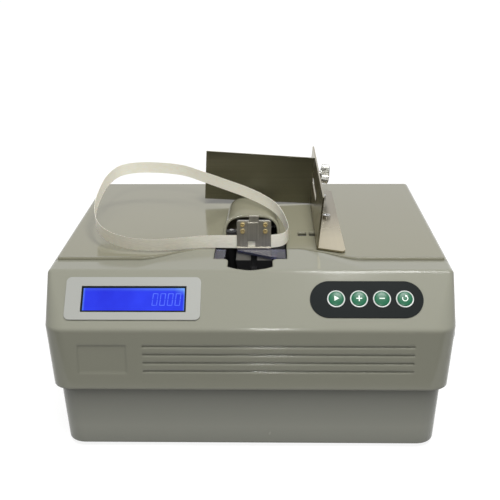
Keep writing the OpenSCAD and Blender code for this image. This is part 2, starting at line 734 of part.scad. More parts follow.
module motor_pinion() color([0.8, 0.65, 0.3]) translate([motor_x, feed_y, feed_gear_z]) {
  rotate([0, 0, 180 / motor_teeth]) gear(motor_teeth, gear_m, gear_t);
  cylinder(d = feed_shaft_d, h = chassis_z + motor_shaft_in - feed_gear_z);
}
module feed_motor() color([0.6, 0.6, 0.62]) translate([motor_x, feed_y, chassis_z]) difference() {
  union() {
    cylinder(d = motor_d, h = motor_h - 3);
    cylinder(d = motor_d - 4, h = motor_h);
    for (a = motor_ears) rotate([0, 0, a]) translate([motor_d / 2 + 1, 0]) cylinder(d = ear_d, h = ear_t);
  }
  translate([0, 0, -1]) cylinder(d = feed_shaft_d + 2 * run_clear, h = motor_shaft_in + 2);
  for (a = motor_ears) rotate([0, 0, a]) translate([motor_d / 2 + 1.5, 0, -1])
    cylinder(d = ear_hole_d, h = ear_t + 2);
}
module pinch_roller() color([0.8, 0.8, 0.82]) translate([pinch_x, feed_y, roller_z]) difference() {
  cylinder(r = pinch_roller_r, h = roller_h);
  translate([0, 0, -1]) cylinder(d = pinch_pin_d + 2 * run_clear, h = roller_h + 2);
}
pin_sink = 8;
module pinch_pin() color("silver") translate([pinch_x, feed_y, bridge_top - pin_sink])
  cylinder(d = pinch_pin_d, h = roller_z + roller_h + 1.5 - bridge_top + pin_sink);

// --- tape head ---
head_x = 2.75;
head_y = 85;
head_z0 = deck_h + 0.2;
tub_x = 34;
tub_t = 2;
tub_y0 = 40;
tub_y1 = 140;
tub_top = deck_h - wall - 1;
tub_rear_top = deck_h - 16;
pedestal_w = 20;
pedestal_h = 22;
ledge_w = 9;
feed_boss_d = 9;
saddle_l = 14;
floor_t = 2.3;
bridge_top = deck_h;
bridge_y0 = 95;
bridge_y1 = 110;
bridge_x0 = -11.2;
bridge_x1 = 18;
slide_x0 = -2;
slide_w = 10;
slide_z0 = deck_h - 8;
slide_h = 6;
slide_clear = 0.1;
drum_r = 15.5;
drum_x = 3;
drum_y0 = 62;
drum_top = deck_h - shelf_t;
drum_slot_w = 5.4;
block_h = 4;
press_y = 120;
press_r = press_teeth * gear_m / 2;
rack_z = slide_z0 - 1;
press_z = rack_z - press_r;
press_motor_d = 22;
press_motor_x0 = 11;
press_motor_l = 20;
press_shaft_d = 3;

function tub_side(t) = [
  [tub_y0 + t, chassis_z + (t > 0 ? floor_t : 0)], [tub_y0 + t, deck_h - 11 - t * 0.4],
  [tub_y0 + 6 + t * 0.4, t > 0 ? tub_top + 10 : tub_top], [tub_y1 - 20, t > 0 ? tub_top + 10 : tub_top],
  [tub_y1 - t, t > 0 ? tub_top + 10 : tub_rear_top], [tub_y1 - t, chassis_z + (t > 0 ? floor_t : 0)]];
module side_slab(points, x0, x1)
  translate([x0, 0, 0]) rotate([90, 0, 90]) linear_extrude(x1 - x0) polygon(points);

module head_housing() color([0.06, 0.06, 0.06]) difference() {
  union() {
    difference() {
      side_slab(tub_side(0), -tub_x, tub_x);
      translate([-tub_x + tub_t, tub_y0 + tub_t, chassis_z + floor_t])
        cube([2 * (tub_x - tub_t), tub_y1 - tub_y0 - 2 * tub_t, 60]);
    }
    // half drum with its pedestal
    translate([drum_x, head_y - 0.1, drum_top]) rotate([90, 0, 0]) linear_extrude(head_y - 0.1 - drum_y0)
      difference() {
        circle(drum_r, $fn = 96);
        translate([-2 * drum_r, 0]) square([4 * drum_r, 2 * drum_r]);
      }
    translate([drum_x - pedestal_w / 2, drum_y0 + 4, chassis_z + 1])
      cube([pedestal_w, head_y - 0.1 - drum_y0 - 4, pedestal_h]);
    // ledges for the clear pieces
    translate([-tub_x + tub_t + 0.6, 62, chassis_z + 1]) cube([ledge_w, 20, drum_top - chassis_z - 1]);
    translate([tub_x - tub_t - ledge_w, 64, chassis_z + 1])
      cube([ledge_w + 1, 18, drum_top - block_h - chassis_z - 1]);
    // boss of the feed shaft
    translate([feed_x, feed_y, chassis_z + 1]) cylinder(d = feed_boss_d, h = bridge_top - 2 - chassis_z);
    // bridge that guides the press slide
    translate([bridge_x0, bridge_y0, chassis_z + 1])
      cube([bridge_x1 - bridge_x0, bridge_y1 - bridge_y0, bridge_top - chassis_z - 1]);
    // saddle of the press motor
    translate([press_motor_x0 + 3, press_y - 10, chassis_z + 1])
      cube([saddle_l, 20, press_z - 3 - chassis_z]);
  }
  translate([slide_x0 - slide_clear, bridge_y0 - 1, slide_z0 - slide_clear])
    cube([slide_w + 2 * slide_clear, bridge_y1 - bridge_y0 + 2, slide_h + 2 * slide_clear]);
  translate([drum_x - drum_slot_w / 2, drum_y0 - 1, drum_top - drum_r + 4])
    cube([drum_slot_w, 15, drum_r]);
  translate([feed_x, feed_y, chassis_z - 1]) cylinder(d = feed_shaft_d + 2 * run_clear, h = 60);
  translate([pinch_x, feed_y, bridge_top - pin_sink]) cylinder(d = pinch_pin_d, h = pin_sink + 2);
  translate([press_motor_x0 - 1, press_y, press_z]) rotate([0, 90, 0])
    cylinder(d = press_motor_d, h = press_motor_l + 2);
}

// Clear shelf that the tape runs over, with a small clear guide at the left.
module tape_shelf() color([0.75, 0.85, 0.9, 0.5]) {
  translate([0, 0, drum_top]) linear_extrude(shelf_t)
    polygon([[-12, 83], [16, 66], [30.5, 61], [30.5, 84.5], [-12, 84.5]]);
  translate([21, 63, drum_top - block_h]) cube([9.5, 21, block_h + EPS]);
  translate([-31, 62, drum_top]) linear_extrude(shelf_t)
    polygon([[0, -2.6], [8, -2.2], [9, 4], [9, 22], [0, 22]]);
}

tongue_w = 8.5;
tongue_h = 4.5;
rib_w = 9;
window_w = 6.5;
window_h = 5;
window_z = 2.4;
lip_proud = 0.8;
screw_rows = [16.3, 22.3];
screw_in = 5;
plate_screw_d = 2.5;
module head_plate() color([0.6, 0.58, 0.52]) translate([head_x, head_y, head_z0]) difference() {
  union() {
    rotate([90, 0, 0]) translate([0, 0, -head_t]) linear_extrude(head_t) {
      translate([-head_w / 2, 0]) square([head_w, head_h - 2]);
      translate([-head_w / 2 + 2, 0]) square([head_w - 4, head_h]);
      for (sx = [-1, 1]) translate([sx * (head_w / 2 - 2), head_h - 2]) circle(2);
      translate([-tongue_w / 2, 0]) square([tongue_w, head_h + tongue_h]);
    }
    // raised band and turned-out lower lip
    translate([-window_w / 2 - 2, -lip_proud / 2, window_z + window_h + 1])
      cube([rib_w, 1, head_h - window_h - 5]);
    translate([-head_w / 2, -lip_proud, 0]) cube([head_w, 1.2, 1.6]);
  }
  translate([-window_w / 2 - 2, -5, window_z]) cube([window_w, 10, window_h]);
  for (sx = [-1, 1], z = screw_rows) translate([sx * (head_w / 2 - screw_in), 5, z]) rotate([90, 0, 0])
    cylinder(d = plate_screw_d, h = 10);
}
module head_screws() color([0.8, 0.6, 0.25]) for (sx = [-1, 1], z = screw_rows)
  translate([head_x + sx * (head_w / 2 - screw_in), head_y, head_z0 + z]) rotate([-90, 0, 0])
    pan_screw(head_t + 4, 4, 1.2, plate_screw_d);

backing_y1 = 92;
backing_z0 = deck_h + 14;
arm_x = 2;
arm_y = 103;
arm_t = 4;
leg_t = 6;
module plate_backing() color([0.08, 0.08, 0.08]) difference() {
  union() {
    translate([head_x - head_w / 2 + 0.5, head_y + head_t, backing_z0])
      cube([head_w - 1, backing_y1 - head_y - head_t, head_z0 + head_h - 1 - backing_z0]);
    translate([arm_x, head_y + head_t, backing_z0]) cube([bridge_x1 - arm_x, arm_y - head_y - head_t, arm_t]);
    translate([arm_x, arm_y - leg_t, bridge_top])
      cube([bridge_x1 - arm_x, leg_t, backing_z0 + 1 - bridge_top]);
  }
  for (sx = [-1, 1], z = screw_rows)
    translate([head_x + sx * (head_w / 2 - screw_in), backing_y1 - 1, head_z0 + z])
      rotate([90, 0, 0]) cylinder(d = plate_screw_d, h = 10);
}

// --- press slide and its drive ---
pad_y = 89.9;
pad_t = 1.1;
slide_y1 = 134;
rack_pitch = PI * gear_m;
rack_teeth = 6;
module rack_tooth(y) {
  half = rack_pitch / 4 - backlash / 4;
  a = 0.9 * gear_m * tan(pressure_a);
  b = 1.1 * gear_m * tan(pressure_a);
  root = slide_z0 - rack_z + 0.1;
  polygon([[y - half - b, root], [y - half + a, -0.9 * gear_m], [y + half - a, -0.9 * gear_m],
    [y + half + b, root]]);
}
module press_slide() color([0.7, 0.7, 0.72]) {
  translate([slide_x0, pad_y + pad_t, slide_z0]) cube([slide_w, slide_y1 - pad_y - pad_t, slide_h]);
  translate([slide_x0 - 0.5, pad_y + pad_t, slide_z0]) cube([slide_w, bridge_y0 - 0.3 - pad_y - pad_t, 20.5]);
  translate([slide_x0 + 1, press_y, rack_z]) rotate([90, 0, 90]) linear_extrude(slide_w - 2)
    for (k = [-rack_teeth / 2 : rack_teeth / 2 - 1]) rack_tooth((k + 0.5) * rack_pitch);
}
pad_w = 5;
pad_h = 11;
blade_t = 0.6;
module heater_pad() color([0.7, 0.5, 0.2]) translate([slide_x0, pad_y, deck_h + 1])
  cube([pad_w, pad_t, pad_h]);
module cutter_blade() color("silver") translate([slide_x0 + pad_w + 1.5, pad_y, deck_h + 0.7])
  cube([blade_t, pad_t, pad_h + 0.6]);
module press_pinion() color([0.85, 0.85, 0.8]) translate([slide_x0 + 0.5, press_y, press_z])
  rotate([90, 0, 90]) {
    rotate([0, 0, 90]) gear(press_teeth, gear_m, slide_w - 1);
    cylinder(d = press_shaft_d, h = press_motor_x0 - slide_x0 + 5);
  }
module press_motor() color([0.6, 0.6, 0.62])
  translate([press_motor_x0, press_y, press_z]) rotate([0, 90, 0]) difference() {
    union() {
      cylinder(d = press_motor_d - 6, h = press_motor_l);
      translate([0, 0, 1.5]) cylinder(d = press_motor_d, h = press_motor_l - 1.5);
    }
    translate([0, 0, -1]) cylinder(d = press_shaft_d + 2 * run_clear, h = 8);
  }

// --- paper tape ---
// The tape's lower edge: X, Y, its height above the deck and its forward lean in degrees, from
// the free end behind the head plate, round the loop, back through the head, between the rollers
// and down to the roll.
tape_route = [
  [12, 86.75, 0.5, 0], [0, 86.75, 0.5, 0], [-12, 86.75, 0.5, 0], [-26, 86.6, 0.7, 3],
  [-42, 85.5, 1, 8], [-66, 81, 1, 14], [-87, 78, 1, 14], [-107, 81, 1.5, 14],
  [-125, 90, 4, 14], [-137, 104, 7.5, 14], [-144, 124, 12, 14], [-147, 150, 18, 14],
  [-145, 178, 26, 14], [-141, 195, 30.5, 14], [-133, 209, 34, 14], [-118, 216, 35.5, 14],
  [-98, 217, 35.5, 14], [-71, 212, 34, 14], [-48, 198, 30.5, 14], [-24, 180, 27, 14],
  [-6, 167, 24, 14], [9, 153, 21, 14], [21, 138, 17.5, 14], [28, 124, 13, 14],
  [32, 108, 8, 11], [33, 97, 4.5, 8], [28.5, 89.5, 2, 4], [18, 87.35, 0.7, 0],
  [8, 87.35, 0.5, 0], [-3, 87.35, 0.5, 0], [-8, 89.3, 0.5, 0], [-11.4, 93.5, 0.5, 0],
  [nip_x, 99, 0.5, 0], [nip_x, feed_y, 0.4, 0], [nip_x, 110, 0.2, 0], [-10.5, 122, -1.5, 0],
  [-4.5, reel_y - 54, -7.5, 0], [-0.6, reel_y - 22, -14.8, 0], [0.6, reel_y - 4, -18.2, 0]];
tape_sub = 3;
function spline(p, i, t) =
  let (a = p[max(0, i - 1)], b = p[i], c = p[i + 1], d = p[min(len(p) - 1, i + 2)])
  b + 0.5 * t * (c - a + t * (2 * a - 5 * b + 4 * c - d + t * (3 * (b - c) + d - a)));
tape_path = concat(
  [for (i = [0 : len(tape_route) - 2], k = [0 : tape_sub - 1]) spline(tape_route, i, k / tape_sub)],
  [tape_route[len(tape_route) - 1]]);
function tape_dir(i) =
  let (d = tape_path[min(len(tape_path) - 1, i + 1)] - tape_path[max(0, i - 1)], l = norm([d[0], d[1]]))
  [d[0] / l, d[1] / l];
function tape_ring(i) =
  let (p = tape_path[i], d = tape_dir(i), q = [p[0], p[1], deck_h + p[2]],
       w = tape_w * [0, -sin(p[3]), cos(p[3])], s = tape_t / 2 * [-d[1], d[0], 0])
  [q - s, q + s, q + s + w, q - s + w];
module tape_loop() color([0.86, 0.82, 0.72]) loft([for (i = [0 : len(tape_path) - 1]) tape_ring(i)]);

// --- fence ---
bracket_x = 58;
bracket_y0 = 84.7;
bracket_screw_d = 4;
bracket_hole_x = 72;
bracket_hole_y = [175, 245];
bend_r = 2;
bend_x = bend_r * (1 + sin(upright_lean)) / cos(upright_lean);
bend_steps = 8;
slot_y0 = 157;
slot_y1 = 272;
slot_z = 25.6;
fence_gap = 0.1;
ear_l = 42;
ear_z0 = 15;
ear_h = 21;
thumb_y = 255;
thumb_shank_d = 5;
thumb_gap = 8;
module at_upright() translate([bracket_x, 0, deck_h]) rotate([0, upright_lean, 0]) children();
module fence_bracket() color([0.75, 0.75, 0.75]) difference() {
  across = sheet_t / cos(upright_lean);
  intersection() {
    translate([bracket_x, bracket_y0 + bracket_l, deck_h]) rotate([90, 0, 0])
      linear_extrude(bracket_l + 20) polygon(concat(
        [[flange_w, 0], [flange_w, sheet_t], [across + sheet_t * tan(upright_lean), sheet_t]],
        [for (s = [1, 0]) [s * across + fence_h * tan(upright_lean), fence_h]],
        [for (k = [0 : bend_steps]) let (a = 180 - upright_lean + (90 + upright_lean) * k / bend_steps)
          [bend_x, bend_r] + bend_r * [cos(a), sin(a)]]));
    union() {
      translate([0, 0, deck_h - 1]) linear_extrude(sheet_t + 1 + EPS) bracket_plan();
      translate([0, 0, deck_h + sheet_t]) rotate([90, 0, 0]) mirror([0, 0, 1]) translate([0, 0, bracket_y0])
        linear_extrude(bracket_l) square([bracket_x + 15, fence_h]);
    }
  }
  at_upright() for (y = [slot_y0 + slot_w / 2, slot_y1 - slot_w / 2]) translate([-5, y, slot_z])
    rotate([0, 90, 0]) cylinder(d = slot_w, h = 10);
  at_upright() translate([-5, slot_y0 + slot_w / 2, slot_z - slot_w / 2])
    cube([10, slot_y1 - slot_y0 - slot_w, slot_w]);
  for (y = bracket_hole_y) translate([bracket_hole_x, y, deck_h - 1]) cylinder(d = bracket_screw_d, h = 4);
}
// The flange in plan: slanted front edge and rounded corners.
corner_cut = 5;
module bracket_plan() {
  r = corner_cut;
  x1 = bracket_x + flange_w;
  y0 = bracket_y0 - 9;
  y1 = bracket_y0 + bracket_l - 8;
  polygon(concat(
    [[bracket_x - 5, bracket_y0 + 2], [bracket_x + 1, bracket_y0]],
    [for (a = [-70 : 14 : 0]) [x1 - r, y0 + r] + r * [cos(a), sin(a)]],
    [for (a = [0 : 14 : 84]) [x1 - r, y1 - r] + r * [cos(a), sin(a)]],
    [[bracket_x, bracket_y0 + bracket_l], [bracket_x - 5, bracket_y0 + bracket_l]]));
}
module bracket_screws() color("silver") for (y = bracket_hole_y)
  translate([bracket_hole_x, y, deck_h + sheet_t]) rotate([180, 0, 0])
    pan_screw(sheet_t + wall + 6, 7.5, 2.6, bracket_screw_d - 0.04);

fence_plate_h = 50;
fence_bottom = 0.6;
module fence_plate() color([0.7, 0.7, 0.7]) at_upright() difference() {
  t = upright_lean - plate_roll;
  union() {
    translate([-fence_gap, fence_y + sheet_t, fence_bottom]) rotate([90, 0, 0]) linear_extrude(sheet_t)
      polygon([[0, 0], -fence_w * [cos(t), sin(t)],
        -fence_w * [cos(t), sin(t)] + fence_plate_h * [-sin(t), cos(t)], [0, fence_h]]);
    translate([-fence_gap - sheet_t, fence_y, ear_z0]) cube([sheet_t, ear_l - 4, ear_h]);
    translate([-fence_gap - sheet_t, fence_y, ear_z0 + 4]) cube([sheet_t, ear_l, ear_h - 8]);
    for (z = [4, ear_h - 4]) translate([-fence_gap - sheet_t, fence_y + ear_l - 4, ear_z0 + z])
      rotate([0, 90, 0]) cylinder(r = 4, h = sheet_t);
    translate([-fence_gap - sheet_t - 2.5, thumb_y, slot_z]) rotate([0, 90, 0]) cylinder(d = 9, h = 2.6);
  }
  translate([-10, thumb_y, slot_z]) rotate([0, 90, 0]) cylinder(d = thumb_shank_d + 2 * run_clear, h = 12);
}
knurls = 40;
knurl_h = 7;
knurl_deep = 0.6;
thumb_washer_d = 11;
thumb_neck_d = 12;
module thumb_screw() color([0.8, 0.8, 0.82]) at_upright() translate([0, thumb_y, slot_z]) rotate([0, 90, 0]) {
  translate([0, 0, -5]) cylinder(d = thumb_shank_d, h = 5 + sheet_t + thumb_gap + 1);
  translate([0, 0, sheet_t + 0.2]) cylinder(d = thumb_washer_d, h = 1);
  translate([0, 0, sheet_t + thumb_gap]) {
    cylinder(d = thumb_neck_d, h = 1.5);
    translate([0, 0, 1]) linear_extrude(knurl_h) polygon([for (i = [0 : 2 * knurls - 1])
      (thumb_d / 2 - (i % 2) * knurl_deep) * [cos(i * 180 / knurls), sin(i * 180 / knurls)]]);
    translate([0, 0, 1 + knurl_h - EPS])
      cylinder(d1 = thumb_d - 2 * knurl_deep, d2 = thumb_d - 3, h = 0.8);
  }
}

// --- switch ---
rocker_r = 7.6;
rocker_tilt = 8;
rocker_pivot = 3;
rocker_face = 1.2;
rocker_depth = 3.5;
rocker_round_gap = 0.6;
cavity_r = 8.6;
cavity_h = 14;
switch_body_l = 18;
switch_tab_x = 5;
switch_tab = [0.8, 6, 9];
trunnion_d = 2.4;
// The switch stands square to the drafted side wall; its rocker's upper end reaches furthest out.
side_lean = atan2(side_draft, brow_c_z - skirt_h - 1);
switch_x = half_w - (brow_c_z - switch_z) * tan(side_lean);
rocker_out = (rocker_pivot + rocker_face) * cos(rocker_tilt) + rocker_r * sin(rocker_tilt) - rocker_pivot;
rocker_up = rocker_r * cos(rocker_tilt) - (rocker_pivot + rocker_face) * sin(rocker_tilt);
machine_right = switch_x + rocker_out * cos(side_lean) + rocker_up * sin(side_lean);
module at_switch() translate([switch_x, switch_y, switch_z]) rotate([0, side_lean, 0]) children();
module switch_housing() color([0.07, 0.07, 0.07]) at_switch() rotate([0, 90, 0]) difference() {
  union() {
    translate([0, 0, -switch_body_l]) cylinder(d = switch_body_d, h = switch_body_l);
    rotate_extrude()
      polygon([[0, 0], [switch_bezel_d / 2 + 1, 0], [switch_bezel_d / 2 + 0.4, 1.3], [0, 1.5]]);
    for (x = [-switch_tab_x, switch_tab_x]) translate([x, 0, -switch_body_l - switch_tab[2] / 2 + 1])
      cube(switch_tab, center = true);
  }
  translate([0, 0, -cavity_h]) cylinder(r = cavity_r, h = 2 * cavity_h);
}
function turn(p, a) = [p[0] * cos(a) + p[1] * sin(a), -p[0] * sin(a) + p[1] * cos(a)];
// The round that clears the cavity; the rocker keeps inside it at both ends of its travel.
module rocker_round() rotate([0, 90, 0])
  cylinder(r = rocker_r + rocker_round_gap, h = 2 * switch_bezel_d, center = true);
module switch_rocker() color([0.09, 0.09, 0.09]) at_switch() {
  intersection() {
    translate([-rocker_pivot, rocker_r, 0]) rotate([90, 0, 0]) linear_extrude(2 * rocker_r)
      polygon([for (p = [[-rocker_depth, -4], [-rocker_depth, 4], [0, rocker_r],
        [rocker_pivot + rocker_face, rocker_r], [rocker_pivot - 0.4, 0],
        [rocker_pivot + rocker_face, -rocker_r], [0, -rocker_r]]) turn(p, rocker_tilt)]);
    rocker_round();
    translate([-rocker_pivot, 0, 0]) rotate([0, 2 * rocker_tilt, 0]) translate([rocker_pivot, 0, 0])
      rocker_round();
  }
  translate([-rocker_pivot, 0, 0]) rotate([90, 0, 0])
    cylinder(d = trunnion_d, h = 2 * cavity_r - 0.4, center = true);
}

// --- mains inlet ---
end_lean = atan2(end_draft, brow_c_z - skirt_h - 1);
inlet_y = cover_d - (brow_c_z - inlet_z - inlet_h / 2) * sin(end_lean) + inlet_flange * cos(end_lean);
origin_x = (machine_right - half_w) / 2;
origin_y = inlet_y / 2;
module on_rear(x, z, out = 0) translate([x, cover_d, brow_c_z]) rotate([90 + end_lean, 0, 180])
  translate([0, z - brow_c_z, out]) children();
inlet_r = 2.5;
inlet_body_l = 22;
module inlet_body() rounded_plate(inlet_w - 12, inlet_h - 2, inlet_r);
socket_w = 24;
socket_h = 16;
pin_w = 2;
pin_h = 4;
socket_depth = 16;
pin_recess = 5;
socket_pins = [[-7, -1.5], [0, 2], [7, -1.5]];
module mains_inlet() color([0.07, 0.07, 0.07]) on_rear(inlet_x, inlet_z) difference() {
  union() {
    linear_extrude(inlet_flange) rounded_plate(inlet_w, inlet_h, inlet_r);
    translate([0, 0, -inlet_body_l]) linear_extrude(inlet_body_l + 1) inlet_body();
  }
  translate([0, 0, -socket_depth]) linear_extrude(2 * socket_depth) difference() {
    rounded_plate(socket_w, socket_h, inlet_r);
    for (p = socket_pins) translate(p) square([pin_w, pin_h], center = true);
  }
  for (p = socket_pins) translate([p[0], p[1], -pin_recess]) linear_extrude(2 * socket_depth)
    square([pin_w + 0.1, pin_h + 0.1], center = true);
  for (sx = [-1, 1]) translate([sx * (inlet_w / 2 - 4), 0, -1])
    cylinder(d = boss_hole_d, h = 2 * inlet_flange);
}

// --- electrics on the base plate ---
board_w = 120;
board_d = 80;
board_x = -40;
board_y = 105;
board_z = 20;
standoff_in = 6;
standoff_d = 6;
relay = [15, 20, 14];
relay_x = [-50, -30];
processor = [22, 18, 3];
capacitor_x = [30, 46];
capacitor_d = 13;
capacitor_h = 22;
terminals = [60, 8, 9];
module control_board() color([0.05, 0.3, 0.15]) translate([board_x, board_y, 0]) {
  translate([0, 0, board_z]) linear_extrude(board_t) square([board_w, board_d], center = true);
  for (sx = [-1, 1], sy = [-1, 1])
    translate([sx * (board_w / 2 - standoff_in), sy * (board_d / 2 - standoff_in), plate_top])
      cylinder(d = standoff_d, h = board_z - plate_top + EPS);
  translate([0, 0, board_z + board_t - EPS]) {
    for (x = relay_x) translate([x, -20, 0]) cube(relay);
    translate([0, 20, 0]) cube(processor);
    for (x = capacitor_x) translate([x, -15, 0]) cylinder(d = capacitor_d, h = capacitor_h);
    translate([-20, -36, 0]) cube(terminals);
  }
}
transformer_x = base_half - 51;
transformer_y = cover_d - 88;
core_w = 66;
core_d = 24;
core_h = 54;
coil_w = 44;
coil_r = 5;
core_leg = 11;
lug_w = 16;
lug_t = 2;
module transformer() color([0.35, 0.33, 0.3]) translate([transformer_x, transformer_y, plate_top]) {
  translate([-core_w / 2, -core_d / 2, 0]) cube([core_w, core_d, core_h]);
  translate([0, 0, core_leg]) linear_extrude(core_h - 2 * core_leg) rounded_plate(coil_w, coil_w, coil_r);
  for (sx = [-1, 1]) translate([sx * (core_w / 2 + 3) - lug_w / 2, -core_d / 2, 0])
    cube([lug_w, core_d, lug_t]);
}

at_origin() front_cover();
at_origin() deck_cover();
at_origin() base_shell();
at_origin() base_plate();
at_origin() rubber_feet();
at_origin() base_screws();
at_origin() cover_screws();
at_origin() display_bezel();
at_origin() display_frame();
at_origin() display_glass();
at_origin() display_board();
at_origin() keypad_plate();
at_origin() button_rings();
at_origin() keypad_board();
at_origin() start_button();
at_origin() plus_button();
at_origin() minus_button();
at_origin() reset_button();
at_origin() head_housing();
at_origin() head_plate();
at_origin() head_screws();
at_origin() plate_backing();
at_origin() tape_shelf();
at_origin() tape_loop();
at_origin() chassis_plate();
at_origin() chassis_pillars();
at_origin() reel_spindle();
at_origin() reel_flange();
at_origin() tape_roll();
at_origin() feed_motor();
at_origin() motor_pinion();
at_origin() feed_gear();
at_origin() feed_shaft();
at_origin() feed_roller();
at_origin() pinch_roller();
at_origin() pinch_pin();
at_origin() press_motor();
at_origin() press_pinion();
at_origin() press_slide();
at_origin() heater_pad();
at_origin() cutter_blade();
at_origin() fence_bracket();
at_origin() bracket_screws();
at_origin() fence_plate();
at_origin() thumb_screw();
at_origin() switch_housing();
at_origin() switch_rocker();
at_origin() mains_inlet();
at_origin() control_board();
at_origin() transformer();
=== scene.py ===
import bpy
import bmesh
import math
from mathutils import Matrix, Vector

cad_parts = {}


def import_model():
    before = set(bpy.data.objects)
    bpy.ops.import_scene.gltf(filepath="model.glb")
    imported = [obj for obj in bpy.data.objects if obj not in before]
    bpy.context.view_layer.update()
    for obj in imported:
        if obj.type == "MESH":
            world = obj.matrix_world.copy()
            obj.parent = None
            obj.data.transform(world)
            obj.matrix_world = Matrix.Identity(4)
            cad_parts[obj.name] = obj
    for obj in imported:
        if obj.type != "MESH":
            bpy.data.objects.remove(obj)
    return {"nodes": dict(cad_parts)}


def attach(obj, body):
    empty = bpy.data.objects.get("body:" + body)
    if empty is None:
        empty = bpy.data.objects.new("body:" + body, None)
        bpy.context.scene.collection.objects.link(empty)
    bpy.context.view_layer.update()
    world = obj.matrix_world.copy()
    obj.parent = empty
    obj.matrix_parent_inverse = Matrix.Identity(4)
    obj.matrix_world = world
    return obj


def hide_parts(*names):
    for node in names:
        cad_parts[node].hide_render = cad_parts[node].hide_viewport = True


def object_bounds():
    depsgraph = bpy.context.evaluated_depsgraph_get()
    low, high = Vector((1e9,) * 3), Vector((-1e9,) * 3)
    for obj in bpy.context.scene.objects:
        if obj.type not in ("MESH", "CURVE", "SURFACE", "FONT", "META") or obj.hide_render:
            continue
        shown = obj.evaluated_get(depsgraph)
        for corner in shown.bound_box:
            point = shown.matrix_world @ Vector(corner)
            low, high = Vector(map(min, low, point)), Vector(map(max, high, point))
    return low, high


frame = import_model()
cad_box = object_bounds()
nodes = frame["nodes"]
scene = bpy.context.scene

# ---------------------------------------------------------------- the source's own measures, in mm
MM = 0.001
COVER_HALF_WIDTH = 170.0
# The source has X = 0 on the covers' plane of symmetry and Y = 0 at their front edge. The frame is centred
# on the whole part instead, and the switch stands out on the right only.
ORIGIN = Vector((-cad_box[0][0] / MM - COVER_HALF_WIDTH, (cad_box[1][1] - cad_box[0][1]) / 2 / MM, 0.0))


def mm(x, y, z):
    """A point of the source, in the frame's metres."""
    return (Vector((x, y, z)) - ORIGIN) * MM


def lin(r, g, b):
    """An sRGB colour of 0 to 255 as the linear one that shaders take."""
    def f(c):
        c /= 255.0
        return c / 12.92 if c <= 0.04045 else ((c + 0.055) / 1.055) ** 2.4
    return (f(r), f(g), f(b), 1.0)


def scaled(c, k):
    """Colour c, k times as bright."""
    return (c[0] * k, c[1] * k, c[2] * k, 1.0)


# ---------------------------------------------------------------- camera
# Solved from the corners of the deck, seam, brow and base in the photograph: the angles are in radians and
# the place is in the source's measures.
CAMERA_PITCH, CAMERA_YAW, CAMERA_ROLL = 0.33882, -0.022462, -0.006702
CAMERA_PLACE = (16.08, -666.29, 418.06)
SENSOR_WIDTH, LENS = 36.0, 64.8


def make_camera():
    """The photograph's own view of the machine."""
    flat = math.cos(CAMERA_PITCH)
    ahead = Vector((math.sin(CAMERA_YAW) * flat, math.cos(CAMERA_YAW) * flat, -math.sin(CAMERA_PITCH)))
    level = Vector((math.cos(CAMERA_YAW), -math.sin(CAMERA_YAW), 0.0))
    up = level.cross(ahead)
    rolled_right = math.cos(CAMERA_ROLL) * level + math.sin(CAMERA_ROLL) * up
    rolled_up = -math.sin(CAMERA_ROLL) * level + math.cos(CAMERA_ROLL) * up
    m = Matrix((rolled_right, rolled_up, -ahead)).transposed().to_4x4()
    m.translation = mm(*CAMERA_PLACE)
    cam = bpy.data.cameras.new("camera")
    cam.sensor_fit = "HORIZONTAL"
    cam.sensor_width = SENSOR_WIDTH
    cam.lens = LENS
    ob = bpy.data.objects.new("camera", cam)
    ob.matrix_world = m
    scene.collection.objects.link(ob)
    scene.camera = ob


make_camera()


# ---------------------------------------------------------------- shader graphs
# The colour sockets of the Mix node.
COLOUR_A, COLOUR_B, COLOUR_OUT = 6, 7, 2


